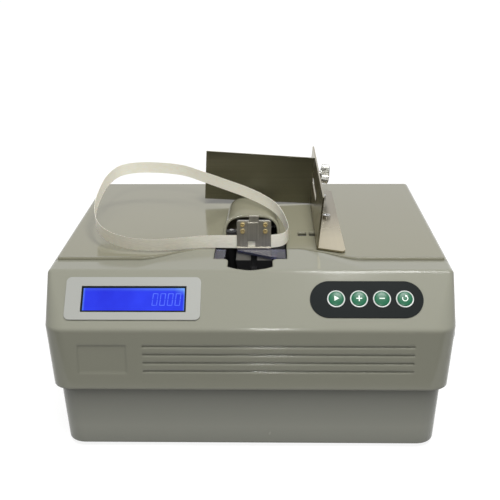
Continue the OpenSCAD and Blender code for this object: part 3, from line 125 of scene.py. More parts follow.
class Mat:
    """A material whose shader graph is built step by step."""

    def __init__(self, name):
        self.m = bpy.data.materials.new(name)
        self.m.use_nodes = True
        self.t = self.m.node_tree
        self.t.nodes.clear()
        self.out = self.t.nodes.new("ShaderNodeOutputMaterial")
        self.b = self.t.nodes.new("ShaderNodeBsdfPrincipled")
        self.t.links.new(self.b.outputs[0], self.out.inputs[0])
        self.coords = self.t.nodes.new("ShaderNodeTexCoord")

    def n(self, kind, **props):
        node = self.t.nodes.new("ShaderNode" + kind)
        for k, v in props.items():
            setattr(node, k, v)
        return node

    def link(self, a, b):
        self.t.links.new(a, b)

    def share(self):
        """Places across, along and up the node's own box, each from 0 to 1."""
        sep = self.n("SeparateXYZ")
        self.link(self.coords.outputs["Generated"], sep.inputs[0])
        return sep.outputs

    def noise(self, scale, detail=3.0, rough=0.5, stretch=None, coord="Object"):
        node = self.n("TexNoise")
        node.inputs["Scale"].default_value = scale
        node.inputs["Detail"].default_value = detail
        node.inputs["Roughness"].default_value = rough
        src = self.coords.outputs[coord]
        if stretch:
            mp = self.n("Mapping")
            mp.inputs["Scale"].default_value = stretch
            self.link(src, mp.inputs["Vector"])
            src = mp.outputs[0]
        self.link(src, node.inputs["Vector"])
        return node.outputs["Fac"]

    def remap(self, src, a, b, c, d):
        """a to b becomes c to d, and stays there past the ends."""
        node = self.n("MapRange")
        for k, v in zip(("From Min", "From Max", "To Min", "To Max"), (a, b, c, d)):
            node.inputs[k].default_value = v
        self.link(src, node.inputs["Value"])
        return node.outputs[0]

    def math(self, op, a, b, clamp=False):
        node = self.n("Math", operation=op, use_clamp=clamp)
        for i, v in enumerate((a, b)):
            if isinstance(v, (int, float)):
                node.inputs[i].default_value = v
            else:
                self.link(v, node.inputs[i])
        return node.outputs[0]

    def mix(self, fac, a, b, blend="MIX"):
        node = self.n("Mix", data_type="RGBA", blend_type=blend)
        if isinstance(fac, (int, float)):
            node.inputs[0].default_value = fac
        else:
            self.link(fac, node.inputs[0])
        for sock, v in ((node.inputs[COLOUR_A], a), (node.inputs[COLOUR_B], b)):
            if isinstance(v, (tuple, list)):
                sock.default_value = v
            else:
                self.link(v, sock)
        return node.outputs[COLOUR_OUT]

    def bump(self, height, strength, distance, bevel=0.0):
        """Fine relief; bevel is the radius in metres to which the edges are seen rounded."""
        node = self.n("Bump")
        node.inputs["Strength"].default_value = strength
        node.inputs["Distance"].default_value = distance
        self.link(height, node.inputs["Height"])
        if bevel > 0:
            bv = self.n("Bevel", samples=6)
            bv.inputs["Radius"].default_value = bevel
            self.link(bv.outputs[0], node.inputs["Normal"])
        self.link(node.outputs[0], self.b.inputs["Normal"])

    def put(self, name, value):
        if isinstance(value, (int, float, tuple, list)):
            self.b.inputs[name].default_value = value
        else:
            self.link(value, self.b.inputs[name])


def give(mat, *names):
    """The finish of these CAD nodes."""
    for name in names:
        ob = nodes[name]
        ob.data.materials.clear()
        ob.data.materials.append(mat.m)


# ---------------------------------------------------------------- plastics
CLOUD_SCALE, CLOUD_REACH = 9.0, 1.6
GLOSS_SCALE, GLOSS_SWING, LEAST_ROUGH = 24.0, 0.03, 0.02
GRAIN_DEPTH = 0.00004


def plastic(name, rgb, rough, mottle, grain=900.0, grain_strength=0.06, bevel=0.0006, ior=1.49, spec=0.5):
    """Moulded plastic: faint cloudy tint, uneven gloss and a fine grain."""
    m = Mat(name)
    c = lin(*rgb)
    cloud = m.remap(m.noise(CLOUD_SCALE, detail=4.0), 0.1, 0.9, 0.0, 1.0)
    tint = CLOUD_REACH * mottle
    m.put("Base Color", m.mix(cloud, scaled(c, 1 - tint), scaled(c, 1 + tint)))
    low, high = max(LEAST_ROUGH, rough - GLOSS_SWING), rough + GLOSS_SWING
    m.put("Roughness", m.remap(m.noise(GLOSS_SCALE, detail=2.0), 0.0, 1.0, low, high))
    m.put("IOR", ior)
    m.put("Specular IOR Level", spec)
    m.bump(m.noise(grain, detail=2.0), grain_strength, GRAIN_DEPTH, bevel)
    return m


def base_material():
    """The base shell's plastic, with painted shade: darker in its hollows and towards the top, where the
    covers overhang it.
    """
    m = plastic("base_plastic", (127, 128, 118), rough=0.26, mottle=0.012, bevel=0.0008)
    painted_shade_reach, painted_shade_darkest = 0.022, 0.62
    # Painted shade: ambient occlusion and a height ramp darken the colour in hollows and towards the top.
    painted_shade_ao = m.n("AmbientOcclusion", samples=8)
    painted_shade_ao.inputs["Distance"].default_value = painted_shade_reach
    painted_hollow_shade = m.remap(painted_shade_ao.outputs["AO"], 0.35, 0.95, painted_shade_darkest, 1.0)
    painted_top_shade = m.remap(m.share()[2], 0.3, 0.9, 1.0, painted_shade_darkest)
    plain = m.b.inputs["Base Color"].links[0].from_socket
    m.put("Base Color", m.mix(1.0, plain, m.math("MULTIPLY", painted_hollow_shade, painted_top_shade), blend="MULTIPLY"))
    return m


COVER_GLOSS = dict(rough=0.12, mottle=0.012, bevel=0.003, ior=1.345)
give(plastic("cover_plastic", (133, 133, 120), **COVER_GLOSS), "front_cover")
give(plastic("deck_plastic", (127, 125, 107), **COVER_GLOSS), "deck_cover")
give(base_material(), "base_shell")
give(plastic("black_plastic", (26, 26, 27), rough=0.38, mottle=0.12, bevel=0.0004),
     "head_housing", "plate_backing", "reel_flange", "switch_housing", "switch_rocker", "mains_inlet")
give(plastic("rubber", (30, 30, 31), rough=0.75, mottle=0.15, grain=500.0, grain_strength=0.4, bevel=0.0005),
     "rubber_feet", "feed_roller")
give(plastic("gloss_black", (20, 24, 24), rough=0.4, mottle=0.1, grain=2200.0, grain_strength=0.1,
             bevel=0.0002, ior=1.3, spec=0.15), "display_frame", "keypad_plate")
give(plastic("bezel_silver", (152, 153, 148), rough=0.34, mottle=0.02, grain=1800.0, grain_strength=0.2,
             bevel=0.0003), "display_bezel")
give(plastic("board_green", (28, 92, 52), rough=0.45, mottle=0.2, grain=400.0),
     "display_board", "keypad_board", "control_board")
give(plastic("gear_nylon", (222, 219, 204), rough=0.5, mottle=0.03, bevel=0.0002),
     "feed_gear", "press_pinion")
give(plastic("core_iron", (74, 70, 66), rough=0.6, mottle=0.25, grain=300.0, grain_strength=0.5),
     "transformer")
give(plastic("ring_white", (206, 210, 206), rough=0.28, mottle=0.02, bevel=0.0002), "button_rings")
give(plastic("button_green", (6, 88, 58), rough=0.3, mottle=0.05, grain=1500.0, bevel=0.0003, spec=0.35),
     "start_button", "plus_button", "minus_button", "reset_button")
give(plastic("motor_can_black", (24, 24, 25), rough=0.55, mottle=0.2, grain=700.0, grain_strength=0.3,
             spec=0.2), "press_motor")


# ---------------------------------------------------------------- metals
SMUDGE_SCALE, SMUDGE_ROUGH, POLISH_SWING = 26.0, 0.07, 0.05
BRUSH_DEPTH, BRIGHT_SHARE = 0.00003, 0.6


def metal(name, rgb, rough, brush, depth=0.08, tint=0.08, bevel=0.0003, aniso=0.0):
    """Sheet or turned metal with fine brush lines, smudges and uneven polish."""
    m = Mat(name)
    c = lin(*rgb)
    lines = m.noise(1.0, detail=4.0, rough=0.7, stretch=brush)
    smudge = m.remap(m.noise(SMUDGE_SCALE, detail=5.0, rough=0.6), 0.35, 0.7, 0.0, 1.0)
    m.put("Base Color", m.mix(lines, scaled(c, 1 - tint), scaled(c, 1 + tint * BRIGHT_SHARE)))
    polish = m.remap(lines, 0.2, 0.8, rough - POLISH_SWING, rough + POLISH_SWING)
    m.put("Roughness", m.math("ADD", polish, m.math("MULTIPLY", smudge, SMUDGE_ROUGH)))
    m.put("Metallic", 1.0)
    m.put("Anisotropic", aniso)
    m.bump(lines, depth, BRUSH_DEPTH, bevel)
    return m


def fence_material():
    """Polished stainless sheet with painted reflection: the front of the flange is painted bright, as if it
    mirrored the bright room;
    its rear and the upright are painted darker, as if they mirrored the dark side."""
    m = Mat("fence_steel")
    along, up = m.share()[1:]
    lines = m.noise(1.0, rough=0.6, stretch=(900.0, 6.0, 900.0))
    # Random smudges, which also brighten the flange's painted reflection in patches.
    smudge_and_sheen = m.remap(m.noise(14.0, stretch=(1.0, 0.5, 1.0)), 0.35, 0.7, 0.0, 1.0)
    # Painted reflection: the flange is painted bright at the front and dark at the rear.
    front = m.math("ADD", m.remap(along, 0.1, 0.55, 1.0, 0.0), m.math("MULTIPLY", smudge_and_sheen, 0.22), clamp=True)
    flange = m.mix(front, lin(134, 127, 110), lin(196, 186, 160))
    upright = m.mix(smudge_and_sheen, lin(132, 127, 110), lin(176, 168, 146))
    sheet = m.mix(m.remap(up, 0.06, 0.14, 0.0, 1.0), flange, upright)
    m.put("Base Color", m.mix(m.math("MULTIPLY", lines, 0.12), sheet, lin(70, 66, 54)))
    m.put("Roughness", m.remap(smudge_and_sheen, 0.0, 1.0, 0.24, 0.3))
    m.put("Metallic", 1.0)
    m.put("Anisotropic", 0.3)
    m.bump(lines, strength=0.012, distance=0.00002, bevel=0.0003)
    return m


give(metal("zinc_sheet", (196, 198, 200), rough=0.36, brush=(40.0, 40.0, 40.0), tint=0.12),
     "base_plate", "chassis_plate")
give(metal("screw_steel", (190, 190, 190), rough=0.24, brush=(300.0, 300.0, 300.0)),
     "base_screws", "cover_screws", "bracket_screws", "chassis_pillars", "reel_spindle", "feed_shaft",
     "pinch_roller", "pinch_pin", "press_slide", "cutter_blade")
give(metal("head_steel", (206, 202, 190), rough=0.4, brush=(700.0, 700.0, 6.0), tint=0.3), "head_plate")
give(metal("fence_plate_steel", (130, 128, 110), rough=0.32, brush=(4.0, 500.0, 500.0), depth=0.04,
           tint=0.22, aniso=0.3), "fence_plate")
give(fence_material(), "fence_bracket")
give(metal("brass", (238, 216, 158), rough=0.38, brush=(400.0, 400.0, 400.0), tint=0.12),
     "head_screws", "motor_pinion", "heater_pad")
give(metal("motor_can", (178, 178, 182), rough=0.3, brush=(60.0, 60.0, 900.0)), "feed_motor")
give(metal("thumb_chrome", (150, 150, 145), rough=0.26, brush=(200.0, 200.0, 200.0), depth=0.03, tint=0.03,
           bevel=0.0002), "thumb_screw")


# ---------------------------------------------------------------- clear shelf, display and paper roll
def clear_material():
    """Violet-tinted acrylic with a little haze."""
    m = Mat("clear_acrylic")
    m.put("Base Color", lin(132, 134, 176))
    m.put("Roughness", m.remap(m.noise(80.0, detail=4.0), 0.3, 0.7, 0.03, 0.1))
    m.put("Transmission Weight", 0.88)
    m.put("IOR", 1.49)
    m.bump(m.noise(300.0, detail=2.0), strength=0.05, distance=0.00005, bevel=0.0003)
    return m


SCREEN_GLOW, SCREEN_IOR = 0.9, 1.25


def display_material():
    """Backlit blue screen, brighter at both ends, along the top and in the upper right corner."""
    m = Mat("display_blue")
    x, _, z = m.share()
    left = m.remap(x, 0.0, 0.02, 0.5, 0.0)
    right = m.remap(x, 1.0, 0.985, 0.5, 0.0)
    top = m.math("MULTIPLY", m.remap(z, 0.86, 1.0, 0.0, 0.5), m.remap(x, 0.35, 0.9, 0.3, 1.0))
    corner = m.math("MULTIPLY", m.remap(x, 0.9, 1.0, 0.0, 0.8), m.remap(z, 0.7, 1.0, 0.0, 1.0))
    glow = m.math("ADD", m.math("ADD", left, right), m.math("ADD", top, corner), clamp=True)
    cloud = m.remap(m.noise(30.0), 0.3, 0.7, 0.0, 1.0)
    blue = m.mix(cloud, lin(30, 44, 226), lin(42, 64, 250))
    m.put("Base Color", lin(8, 12, 60))
    m.put("Emission Color", m.mix(glow, blue, lin(120, 176, 255)))
    m.put("Emission Strength", SCREEN_GLOW)
    m.put("IOR", SCREEN_IOR)
    m.put("Roughness", m.remap(m.noise(120.0), 0.3, 0.7, 0.12, 0.2))
    m.bump(m.noise(1500.0, detail=1.0), strength=0.04, distance=0.00003)
    return m


def roll_material():
    """The wound paper's edge."""
    m = Mat("tape_roll_paper")
    c = lin(208, 200, 180)
    layers = m.noise(900.0, detail=2.0)
    m.put("Base Color", m.mix(layers, scaled(c, 0.82), c))
    m.put("Roughness", m.remap(layers, 0.3, 0.7, 0.6, 0.8))
    m.bump(layers, strength=0.3, distance=0.0001)
    return m


give(clear_material(), "tape_shelf")
give(display_material(), "display_glass")
give(roll_material(), "tape_roll")


# ---------------------------------------------------------------- pieces made here
def new_object(name, me, mat):
    me.materials.append(mat.m)
    ob = bpy.data.objects.new(name, me)
    scene.collection.objects.link(ob)
    return ob


def solid_from(name, bm, mat):
    """The object of a finished bmesh, with its faces turned outwards."""
    bmesh.ops.recalc_face_normals(bm, faces=bm.faces[:])
    me = bpy.data.meshes.new(name)
    bm.to_mesh(me)
    bm.free()
    return new_object(name, me, mat)


def two_layers(name, cols, rows, point, mat):
    """A closed sheet of two layers; point(layer, i, j) places the corners of its cells."""
    bm = bmesh.new()
    layers = [[[bm.verts.new(point(layer, i, j)) for i in range(cols + 1)] for j in range(rows + 1)]
              for layer in (0, 1)]
    for grid in layers:
        for j in range(rows):
            for i in range(cols):
                bm.faces.new((grid[j][i], grid[j][i + 1], grid[j + 1][i + 1], grid[j + 1][i]))
    rim = [(0, i) for i in range(cols)] + [(j, cols) for j in range(rows)]
    rim += [(rows, i) for i in range(cols, 0, -1)] + [(j, 0) for j in range(rows, 0, -1)]
    for (j, i), (next_j, next_i) in zip(rim, rim[1:] + rim[:1]):
        bm.faces.new((layers[0][j][i], layers[0][next_j][next_i], layers[1][next_j][next_i], layers[1][j][i]))
    return solid_from(name, bm, mat)


# ---------------------------------------------------------------- the sloping panel
BROW_H, CREST_RISE, CREST_DEPTH = 114.0, 39.0, 36.0
SLOPE = math.atan2(CREST_RISE, CREST_DEPTH)
UP_SLOPE = Vector((0, math.cos(SLOPE), math.sin(SLOPE)))
OUTWARD = Vector((0, -math.sin(SLOPE), math.cos(SLOPE)))


def on_panel(x, s, out):
    """A point of the panel: x to the right, s up the slope, out from its face, all in mm."""
    return (Vector((x, 0, BROW_H)) + UP_SLOPE * s + OUTWARD * out - ORIGIN) * MM


# ---------------------------------------------------------------- symbols on the buttons
BUTTON_X0, BUTTON_PITCH, BUTTON_S, BUTTON_R = 71.1, 18.75, 27.1, 6.3
CAP_TOP, DOME = 2.4, 0.8
PRINT_HALF = 0.05
STROKE_HALF, PLUS_ARM, MINUS_ARM = 0.42, 2.4, 2.2
ARROW_OUTER, ARROW_INNER, ARROW_FROM, ARROW_TO, ARROW_CUTS = 2.5, 1.8, 60, -210, 20


def arc(r, a0, a1):
    """Points on a circle of radius r, from angle a0 to a1 in degrees."""
    turns = [math.radians(a0 + (a1 - a0) * k / ARROW_CUTS) for k in range(ARROW_CUTS + 1)]
    return [(r * math.cos(a), r * math.sin(a)) for a in turns]


def bar(x0, y0, x1, y1):
    """The four corners of an upright rectangle."""
    return [(x0, y0), (x1, y0), (x1, y1), (x0, y1)]


def symbol(name, i, shapes, ink):
    """Thin printed marks that follow the dome of button i."""
    bm = bmesh.new()
    for pts in shapes:
        vs = [bm.verts.new((x, y, 0)) for x, y in pts]
        es = [bm.edges.new((vs[k], vs[(k + 1) % len(vs)])) for k in range(len(vs))]
        bmesh.ops.triangle_fill(bm, edges=es, use_beauty=True)
    bmesh.ops.subdivide_edges(bm, edges=bm.edges[:], cuts=2, use_grid_fill=True)
    bmesh.ops.triangulate(bm, faces=bm.faces[:])
    grown = bmesh.ops.extrude_face_region(bm, geom=bm.faces[:])
    top = {v for v in grown["geom"] if isinstance(v, bmesh.types.BMVert)}
    for v in bm.verts:
        r = min(1.0, math.hypot(v.co.x, v.co.y) / BUTTON_R)
        cap = CAP_TOP - DOME + DOME * math.sqrt(1 - r * r)
        out = cap + (PRINT_HALF if v in top else -PRINT_HALF)
        v.co = on_panel(BUTTON_X0 + BUTTON_PITCH * i + v.co.x, BUTTON_S + v.co.y, out)
    return solid_from(name, bm, ink)


def symbols():
    """A triangle, a plus, a minus and a ring with an arrow head."""
    h, plus, minus = STROKE_HALF, PLUS_ARM, MINUS_ARM
    triangle = [(-1.5, -2.2), (2.3, 0.0), (-1.5, 2.2)]
    plus_bars = [bar(-plus, -h, -h, h), bar(h, -h, plus, h), bar(-h, -plus, h, plus)]
    ring = arc(ARROW_OUTER, ARROW_FROM, ARROW_TO) + arc(ARROW_INNER, ARROW_TO, ARROW_FROM)
    arrow_head = [(0.25, 3.3), (0.25, 1.0), (2.1, 2.15)]
    marks = [("start", [triangle]), ("plus", plus_bars), ("minus", [bar(-minus, -h, minus, h)]),
             ("reset", [ring, arrow_head])]
    ink = plastic("symbol_white", (226, 238, 228), rough=0.4, mottle=0.03, bevel=0.0)
    for i, (button, shapes) in enumerate(marks):
        body = button + "_button"
        ob = symbol("symbol_" + button, i, shapes, ink)
        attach(ob, body)


symbols()

# ---------------------------------------------------------------- unlit digits of the display
DIGIT_W, DIGIT_H, SEGMENT_W, SEGMENT_GAP, DIGIT_LEAN = 4.6, 11.0, 0.75, 0.22, 0.08
DIGIT_X0, DIGIT_PITCH, DIGIT_COUNT, DIGIT_S = -80.6, 6.3, 4, 21.0
SEGMENT_OUT = (0.15, 0.27)


def ghost_material():
    """A little paler than the lit screen behind it."""
    m = Mat("display_ghost")
    cloud = m.remap(m.noise(200.0, detail=2.0), 0.3, 0.7, 0.0, 1.0)
    m.put("Base Color", lin(20, 30, 90))
    m.put("Emission Color", m.mix(cloud, lin(66, 92, 246), lin(92, 122, 255)))
    m.put("Emission Strength", SCREEN_GLOW)
    m.put("Roughness", m.remap(cloud, 0.0, 1.0, 0.15, 0.2))
    m.put("IOR", SCREEN_IOR)
    return m


def segments():
    """The six bars of a plain zero: one below, one above and two on each side."""
    inner, half = DIGIT_W - SEGMENT_W, DIGIT_H / 2
    bars = [bar(SEGMENT_W, y, inner, y + SEGMENT_W) for y in (0, DIGIT_H - SEGMENT_W)]
    return bars + [bar(x, y + SEGMENT_GAP, x + SEGMENT_W, y + half - SEGMENT_GAP)
                   for x in (0, inner) for y in (0, half)]


def ghost_digits():
    """Faint plain zeros, as the display's unlit segments show them."""
    bm = bmesh.new()
    for i in range(DIGIT_COUNT):
        x0 = DIGIT_X0 + DIGIT_PITCH * i
        for flat in segments():
            low, high = [[bm.verts.new(on_panel(x0 + x + DIGIT_LEAN * y, DIGIT_S + y, out)) for x, y in flat]
                         for out in SEGMENT_OUT]
            bm.faces.new(high)
            bm.faces.new(low[::-1])
            for k in range(4):
                n = (k + 1) % 4
                bm.faces.new((low[k], low[n], high[n], high[k]))
    ob = solid_from("display_digits", bm, ghost_material())
    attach(ob, "housing")


ghost_digits()

# ---------------------------------------------------------------- paper tape
TAPE_W, TAPE_THICK, TAPE_CROWN = 12.0, 0.24, 0.06
TAPE_COLS, TAPE_STEPS, TAPE_UV_PER_M = 6, 8, 10
FEED_X, FEED_ROLLER_R, NIP_GAP, ROUTE_THICK = -17.65, 5.0, 0.2, 0.3
NIP_X = FEED_X + FEED_ROLLER_R + NIP_GAP + ROUTE_THICK / 2
# The same route as in the source: x, y and z of the tape's lower edge, in mm, and its forward lean in
# degrees, from the head's slot round the loop and through the nip to the roll.
ROUTE = [
    (12, 86.75, 154.5, 0), (0, 86.75, 154.5, 0), (-12, 86.75, 154.5, 0), (-26, 86.6, 154.7, 3),
    (-42, 85.5, 155, 8), (-66, 81, 155, 14), (-87, 78, 155, 14), (-107, 81, 155.5, 14),
    (-125, 90, 158, 14), (-137, 104, 161.5, 14), (-144, 124, 166, 14), (-147, 150, 172, 14),
    (-145, 178, 180, 14), (-141, 195, 184.5, 14), (-133, 209, 188, 14), (-118, 216, 189.5, 14),
    (-98, 217, 189.5, 14), (-71, 212, 188, 14), (-48, 198, 184.5, 14), (-24, 180, 181, 14),
    (-6, 167, 178, 14), (9, 153, 175, 14), (21, 138, 171.5, 14), (28, 124, 167, 14),
    (32, 108, 162, 11), (33, 97, 158.5, 8), (28.5, 89.5, 156, 4), (18, 87.35, 154.7, 0),
    (8, 87.35, 154.5, 0), (-3, 87.35, 154.5, 0), (-8, 89.3, 154.5, 0), (-11.4, 93.5, 154.5, 0),
    (NIP_X, 99, 154.5, 0), (NIP_X, 104, 154.4, 0), (NIP_X, 110, 154.2, 0), (-10.5, 122, 152.5, 0),
    (-4.5, 156, 146.5, 0), (-0.6, 188, 139.2, 0), (0.6, 206, 135.8, 0)]


def spline(p, i, t):
    """A smooth curve through all the points; t runs from point i to the next."""
    a, b, c, d = p[max(0, i - 1)], p[i], p[i + 1], p[min(len(p) - 1, i + 2)]
    return [b[k] + 0.5 * t * (c[k] - a[k] + t * (2 * a[k] - 5 * b[k] + 4 * c[k] - d[k]
            + t * (3 * (b[k] - c[k]) + d[k] - a[k]))) for k in range(4)]


def tape_material():
    """Paper tape with threads along it and a little translucency; painted light makes the rear of the loop
    brighter with a faint glow, painted shade its front darker.
    """
    m = Mat("tape_paper")
    threads = m.noise(1.0, stretch=(18.0, 95.0, 1.0), coord="UV")
    c = lin(252, 248, 234)
    fleck = m.remap(m.noise(700.0), 0.35, 0.65, 0.0, 1.0)
    woven = m.mix(m.remap(threads, 0.35, 0.7, 0.0, 1.0), scaled(c, 0.86), scaled(c, 1.0))
    # Painted light: the rear of the loop is painted brighter and glows faintly; the front is painted darker
    # as shade.
    rear = m.remap(m.share()[1], 0.05, 0.5, 0.0, 1.0)
    paper = m.mix(m.math("MULTIPLY", fleck, 0.25), woven, scaled(c, 0.9))
    m.put("Base Color", m.mix(rear, m.mix(0.3, paper, lin(150, 147, 132)), paper))
    m.put("Emission Color", paper)
    m.put("Emission Strength", m.remap(rear, 0.0, 1.0, 0.02, 0.16))
    m.put("Roughness", m.remap(threads, 0.3, 0.7, 0.42, 0.6))
    m.put("Subsurface Weight", 0.08)
    m.put("Subsurface Scale", 0.001)
    m.bump(threads, strength=0.25, distance=0.00008)
    return m


def tape_points():
    """The corners of every cross-section of the strip, front side first, and their places on the paper."""
    path = [spline(ROUTE, i, k / TAPE_STEPS) for i in range(len(ROUTE) - 1) for k in range(TAPE_STEPS)]
    path.append(list(ROUTE[-1]))
    verts, uvs = [], []
    run = 0.0
    for i, p in enumerate(path):
        before, after = path[max(0, i - 1)], path[min(len(path) - 1, i + 1)]
        heading = Vector((after[0] - before[0], after[1] - before[1], 0)).normalized()
        side = Vector((-heading.y, heading.x, 0))
        lean = math.radians(p[3])
        up = Vector((0, -math.sin(lean), math.cos(lean)))
        run += math.dist(p[:3], path[i - 1][:3]) if i else 0.0
        for s in (1, -1):
            for k in range(TAPE_COLS + 1):
                v = k / TAPE_COLS
                crown = TAPE_CROWN * (1 - (2 * v - 1) ** 2)
                place = Vector(p[:3]) + up * (TAPE_W * v) + side * (s * TAPE_THICK / 2 + crown)
                verts.append((place - ORIGIN) * MM)
                uvs.append((run * MM * TAPE_UV_PER_M, v * TAPE_W * MM * TAPE_UV_PER_M))
    return verts, uvs


def tape_faces(count):
    """Both sides and both edges of the strip between its cross-sections, and its two ends."""
    back, ring = TAPE_COLS + 1, 2 * (TAPE_COLS + 1)
    faces = []
    for a in range(0, count - ring, ring):
        b = a + ring
        for k in range(TAPE_COLS):
            faces.append((a + k, b + k, b + k + 1, a + k + 1))
            faces.append((a + back + k, a + back + k + 1, b + back + k + 1, b + back + k))
        faces.append((a + TAPE_COLS, b + TAPE_COLS, b + ring - 1, a + ring - 1))
        faces.append((a, a + back, b + back, b))
    for a, step in ((0, 1), (count - ring, -1)):
        for k in range(TAPE_COLS):
            faces.append((a + k, a + k + 1, a + back + k + 1, a + back + k)[::step])
    return faces


def make_tape():
    """The tape of the source, with a finer mesh and a slight crown across its width."""
    verts, uvs = tape_points()
    me = bpy.data.meshes.new("paper_tape")
    me.from_pydata([tuple(v) for v in verts], [], tape_faces(len(verts)))
    layer = me.uv_layers.new(name="uv")
    for loop in me.loops:
        layer.data[loop.index].uv = uvs[loop.vertex_index]
    for p in me.polygons:
        p.use_smooth = True
    me.set_sharp_from_angle(angle=math.radians(40))
    ob = new_object("paper_tape", me, tape_material())
    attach(ob, "housing")
    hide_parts("tape_loop")


make_tape()

# ---------------------------------------------------------------- painted shade: dark sheet behind the vents
VENT_SHADE_X, VENT_SHADE_Z = (15.0, 116.0), (80.0, 122.0)
VENT_SHADE_FRONT_Y, VENT_SHADE_REAR_Y = 302.9, 304.3
VENT_SHADE_COLS, VENT_SHADE_ROWS, PLEAT = 202, 8, 0.35


def vent_shade_sheet():
    """A dark pleated sheet that closes the rear wall's vents from inside: painted shade that keeps the inside
    dark.
    """
    def point(layer, i, j):
        x = VENT_SHADE_X[0] + (VENT_SHADE_X[1] - VENT_SHADE_X[0]) * i / VENT_SHADE_COLS
        z = VENT_SHADE_Z[0] + (VENT_SHADE_Z[1] - VENT_SHADE_Z[0]) * j / VENT_SHADE_ROWS
        fold = 0.0 if j in (0, VENT_SHADE_ROWS) else PLEAT * (1 if i % 4 < 2 else -1)
        return mm(x, VENT_SHADE_REAR_Y if layer else VENT_SHADE_FRONT_Y + fold, z)

    # Painted shade: a black sheet that keeps the inside dark behind the vents.
    vent_shade_finish = plastic("vent_painted_shade", (20, 20, 21), rough=0.9, mottle=0.3, grain=1400.0, grain_strength=0.6,
                   bevel=0.0)
    ob = two_layers("vent_shade_sheet", VENT_SHADE_COLS, VENT_SHADE_ROWS, point, vent_shade_finish)
    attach(ob, "housing")


vent_shade_sheet()

# ---------------------------------------------------------------- painted shade: dark strip below the deck's two slots
SLOT_SHADE_X, SLOT_SHADE_Y = (41.0, 63.0), (122.0, 138.0)
SLOT_SHADE_TOP, SLOT_SHADE_THICK, SLOT_SHADE_SAG, SLOT_SHADE_CELLS = 150.98, 0.8, 0.2, 11


def slot_shade_sheet():
    """A black strip stuck to the deck's underside, below the two sensor slots: painted shade that keeps them
    dark.
    """
    def point(layer, i, j):
        u, v = i / SLOT_SHADE_CELLS, j / SLOT_SHADE_CELLS
        dip = SLOT_SHADE_SAG * math.sin(math.pi * u) * math.sin(math.pi * v)
        return mm(SLOT_SHADE_X[0] + (SLOT_SHADE_X[1] - SLOT_SHADE_X[0]) * u, SLOT_SHADE_Y[0] + (SLOT_SHADE_Y[1] - SLOT_SHADE_Y[0]) * v,
                  SLOT_SHADE_TOP - layer * SLOT_SHADE_THICK - dip)

    # Painted shade: a black sheet that keeps the slots dark.
    slot_shade_finish = plastic("slot_painted_shade", (16, 16, 17), rough=0.9, mottle=0.3, grain=1600.0, grain_strength=0.7,
                   bevel=0.0, spec=0.1)
    ob = two_layers("slot_shade_sheet", SLOT_SHADE_CELLS, SLOT_SHADE_CELLS, point, slot_shade_finish)
    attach(ob, "housing")


slot_shade_sheet()

# ---------------------------------------------------------------- light and floor, in metres
scene.view_settings.view_transform = "Standard"
WHITE = (1.0, 1.0, 1.0, 1.0)
SKY_LOW, SKY_HIGH = (0.19, 0.19, 0.187, 1.0), (0.21, 0.21, 0.207, 1.0)
FLOOR_HALF, FLOOR_GREY, FLOOR_GLOW = 30.0, (0.3, 0.3, 0.295, 1.0), 0.8


def seen_directly(t):
    """1 for rays that look at the backdrop itself, from the camera or by way of metal, gloss or glass."""
    path = t.nodes.new("ShaderNodeLightPath")
    total = path.outputs["Is Camera Ray"]
    for name in ("Is Glossy Ray", "Is Transmission Ray"):
        most = t.nodes.new("ShaderNodeMath")
        most.operation = "MAXIMUM"
        t.links.new(total, most.inputs[0])
        t.links.new(path.outputs[name], most.inputs[1])
        total = most.outputs[0]
    return total


def world():
    """A white backdrop; the light that it sheds on the object is dim and even."""
    w = bpy.data.worlds.new("world")
    scene.world = w
    w.use_nodes = True
    t = w.node_tree
    coord = t.nodes.new("ShaderNodeTexCoord")
    sep = t.nodes.new("ShaderNodeSeparateXYZ")
    t.links.new(coord.outputs["Generated"], sep.inputs[0])
    ramp = t.nodes.new("ShaderNodeValToRGB")
    t.links.new(sep.outputs[2], ramp.inputs[0])
    for element, colour in zip(ramp.color_ramp.elements, (SKY_LOW, SKY_HIGH)):
        element.color = colour
    mix = t.nodes.new("ShaderNodeMix")
    mix.data_type = "RGBA"
    t.links.new(seen_directly(t), mix.inputs[0])
    t.links.new(ramp.outputs[0], mix.inputs[COLOUR_A])
    mix.inputs[COLOUR_B].default_value = WHITE
    t.links.new(mix.outputs[COLOUR_OUT], t.nodes["Background"].inputs[0])


def aimed(name, light, direction):
    """A light that shines along the direction."""
    ob = bpy.data.objects.new(name, light)
    ob.rotation_euler = Vector(direction).to_track_quat("-Z", "Y").to_euler()
    scene.collection.objects.link(ob)
    return ob


def sun(name, direction, strength, angle):
    """A soft sun that polished faces don't mirror."""
    light = bpy.data.lights.new(name, "SUN")
    light.energy = strength
    light.angle = math.radians(angle)
    aimed(name, light, direction).visible_glossy = False


def lamp(name, place, target, side, power):
    """A square lamp, whose mirror image gives the glossy edges their highlights."""
    light = bpy.data.lights.new(name, "AREA")
    light.energy = power
    light.shape = "RECTANGLE"
    light.size, light.size_y = side, side
    aimed(name, light, Vector(target) - Vector(place)).location = place


def stage_panel(name, corners, material):
    """A flat sheet of the stage around the object."""
    me = bpy.data.meshes.new(name)
    me.from_pydata(corners, [], [(0, 1, 2, 3)])
    ob = bpy.data.objects.new(name, me)
    scene.collection.objects.link(ob)
    me.materials.append(material)
    return ob


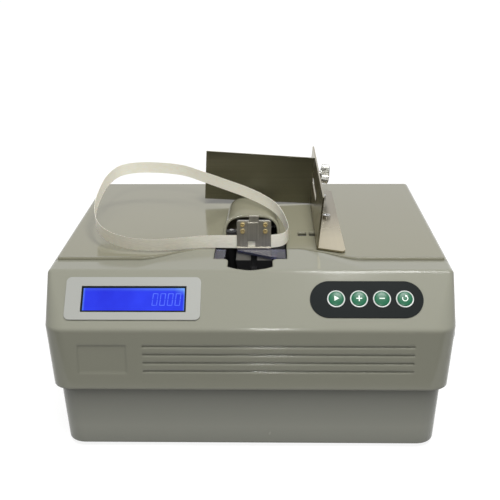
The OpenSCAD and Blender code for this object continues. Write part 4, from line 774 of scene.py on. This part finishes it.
def floor():
    """White where it is looked at and grey for the light it returns, so that the object's shadow shows."""
    m = bpy.data.materials.new("floor_white")
    m.use_nodes = True
    t = m.node_tree
    b = t.nodes["Principled BSDF"]
    b.inputs["Base Color"].default_value = FLOOR_GREY
    b.inputs["Roughness"].default_value = 0.9
    b.inputs["Specular IOR Level"].default_value = 0.1
    b.inputs["Emission Color"].default_value = WHITE
    glow = t.nodes.new("ShaderNodeMath")
    glow.operation = "MULTIPLY"
    glow.inputs[1].default_value = FLOOR_GLOW
    t.links.new(seen_directly(t), glow.inputs[0])
    t.links.new(glow.outputs[0], b.inputs["Emission Strength"])
    s = FLOOR_HALF
    ob = stage_panel("floor", [(-s, -s, 0), (s, -s, 0), (s, s, 0), (-s, s, 0)], m)


def card(name, centre, facing, size, rgb):
    """A dim panel of the room that only polished faces pick up."""
    c, normal, (w, h) = Vector(centre), Vector(facing).normalized(), size
    u = Vector((0, 0, 1)).cross(normal).normalized()
    v = normal.cross(u)
    m = bpy.data.materials.new(name)
    m.use_nodes = True
    t = m.node_tree
    t.nodes.clear()
    out = t.nodes.new("ShaderNodeOutputMaterial")
    em = t.nodes.new("ShaderNodeEmission")
    em.inputs["Color"].default_value = lin(*rgb)
    t.links.new(em.outputs[0], out.inputs[0])
    ob = stage_panel(name, [c + u * (i * w / 2) + v * (j * h / 2)
                            for i, j in ((-1, -1), (1, -1), (1, 1), (-1, 1))], m)
    ob.visible_camera = False
    ob.visible_diffuse = False
    ob.visible_shadow = False


world()
lamp("lamp_right", place=(0.22, -0.38, 1.15), target=(0.05, 0.0, 0.15), side=0.3, power=6.6)
lamp("lamp_brow", place=(0.01, -1.9, 1.3), target=(0.0, 0.0, 0.15), side=0.09, power=10.0)
sun("sun_front", direction=(0.0, 0.45, -0.89), strength=1.7, angle=26)
floor()
card("room_front", centre=(0.0, -2.6, 0.5), facing=(0.0, 2.6, -0.32), size=(4.0, 1.6), rgb=(62, 58, 46))
card("room_floor", centre=(0.0, -1.25, 0.004), facing=(0.0, 0.001, 1.0), size=(3.0, 2.0), rgb=(70, 67, 56))
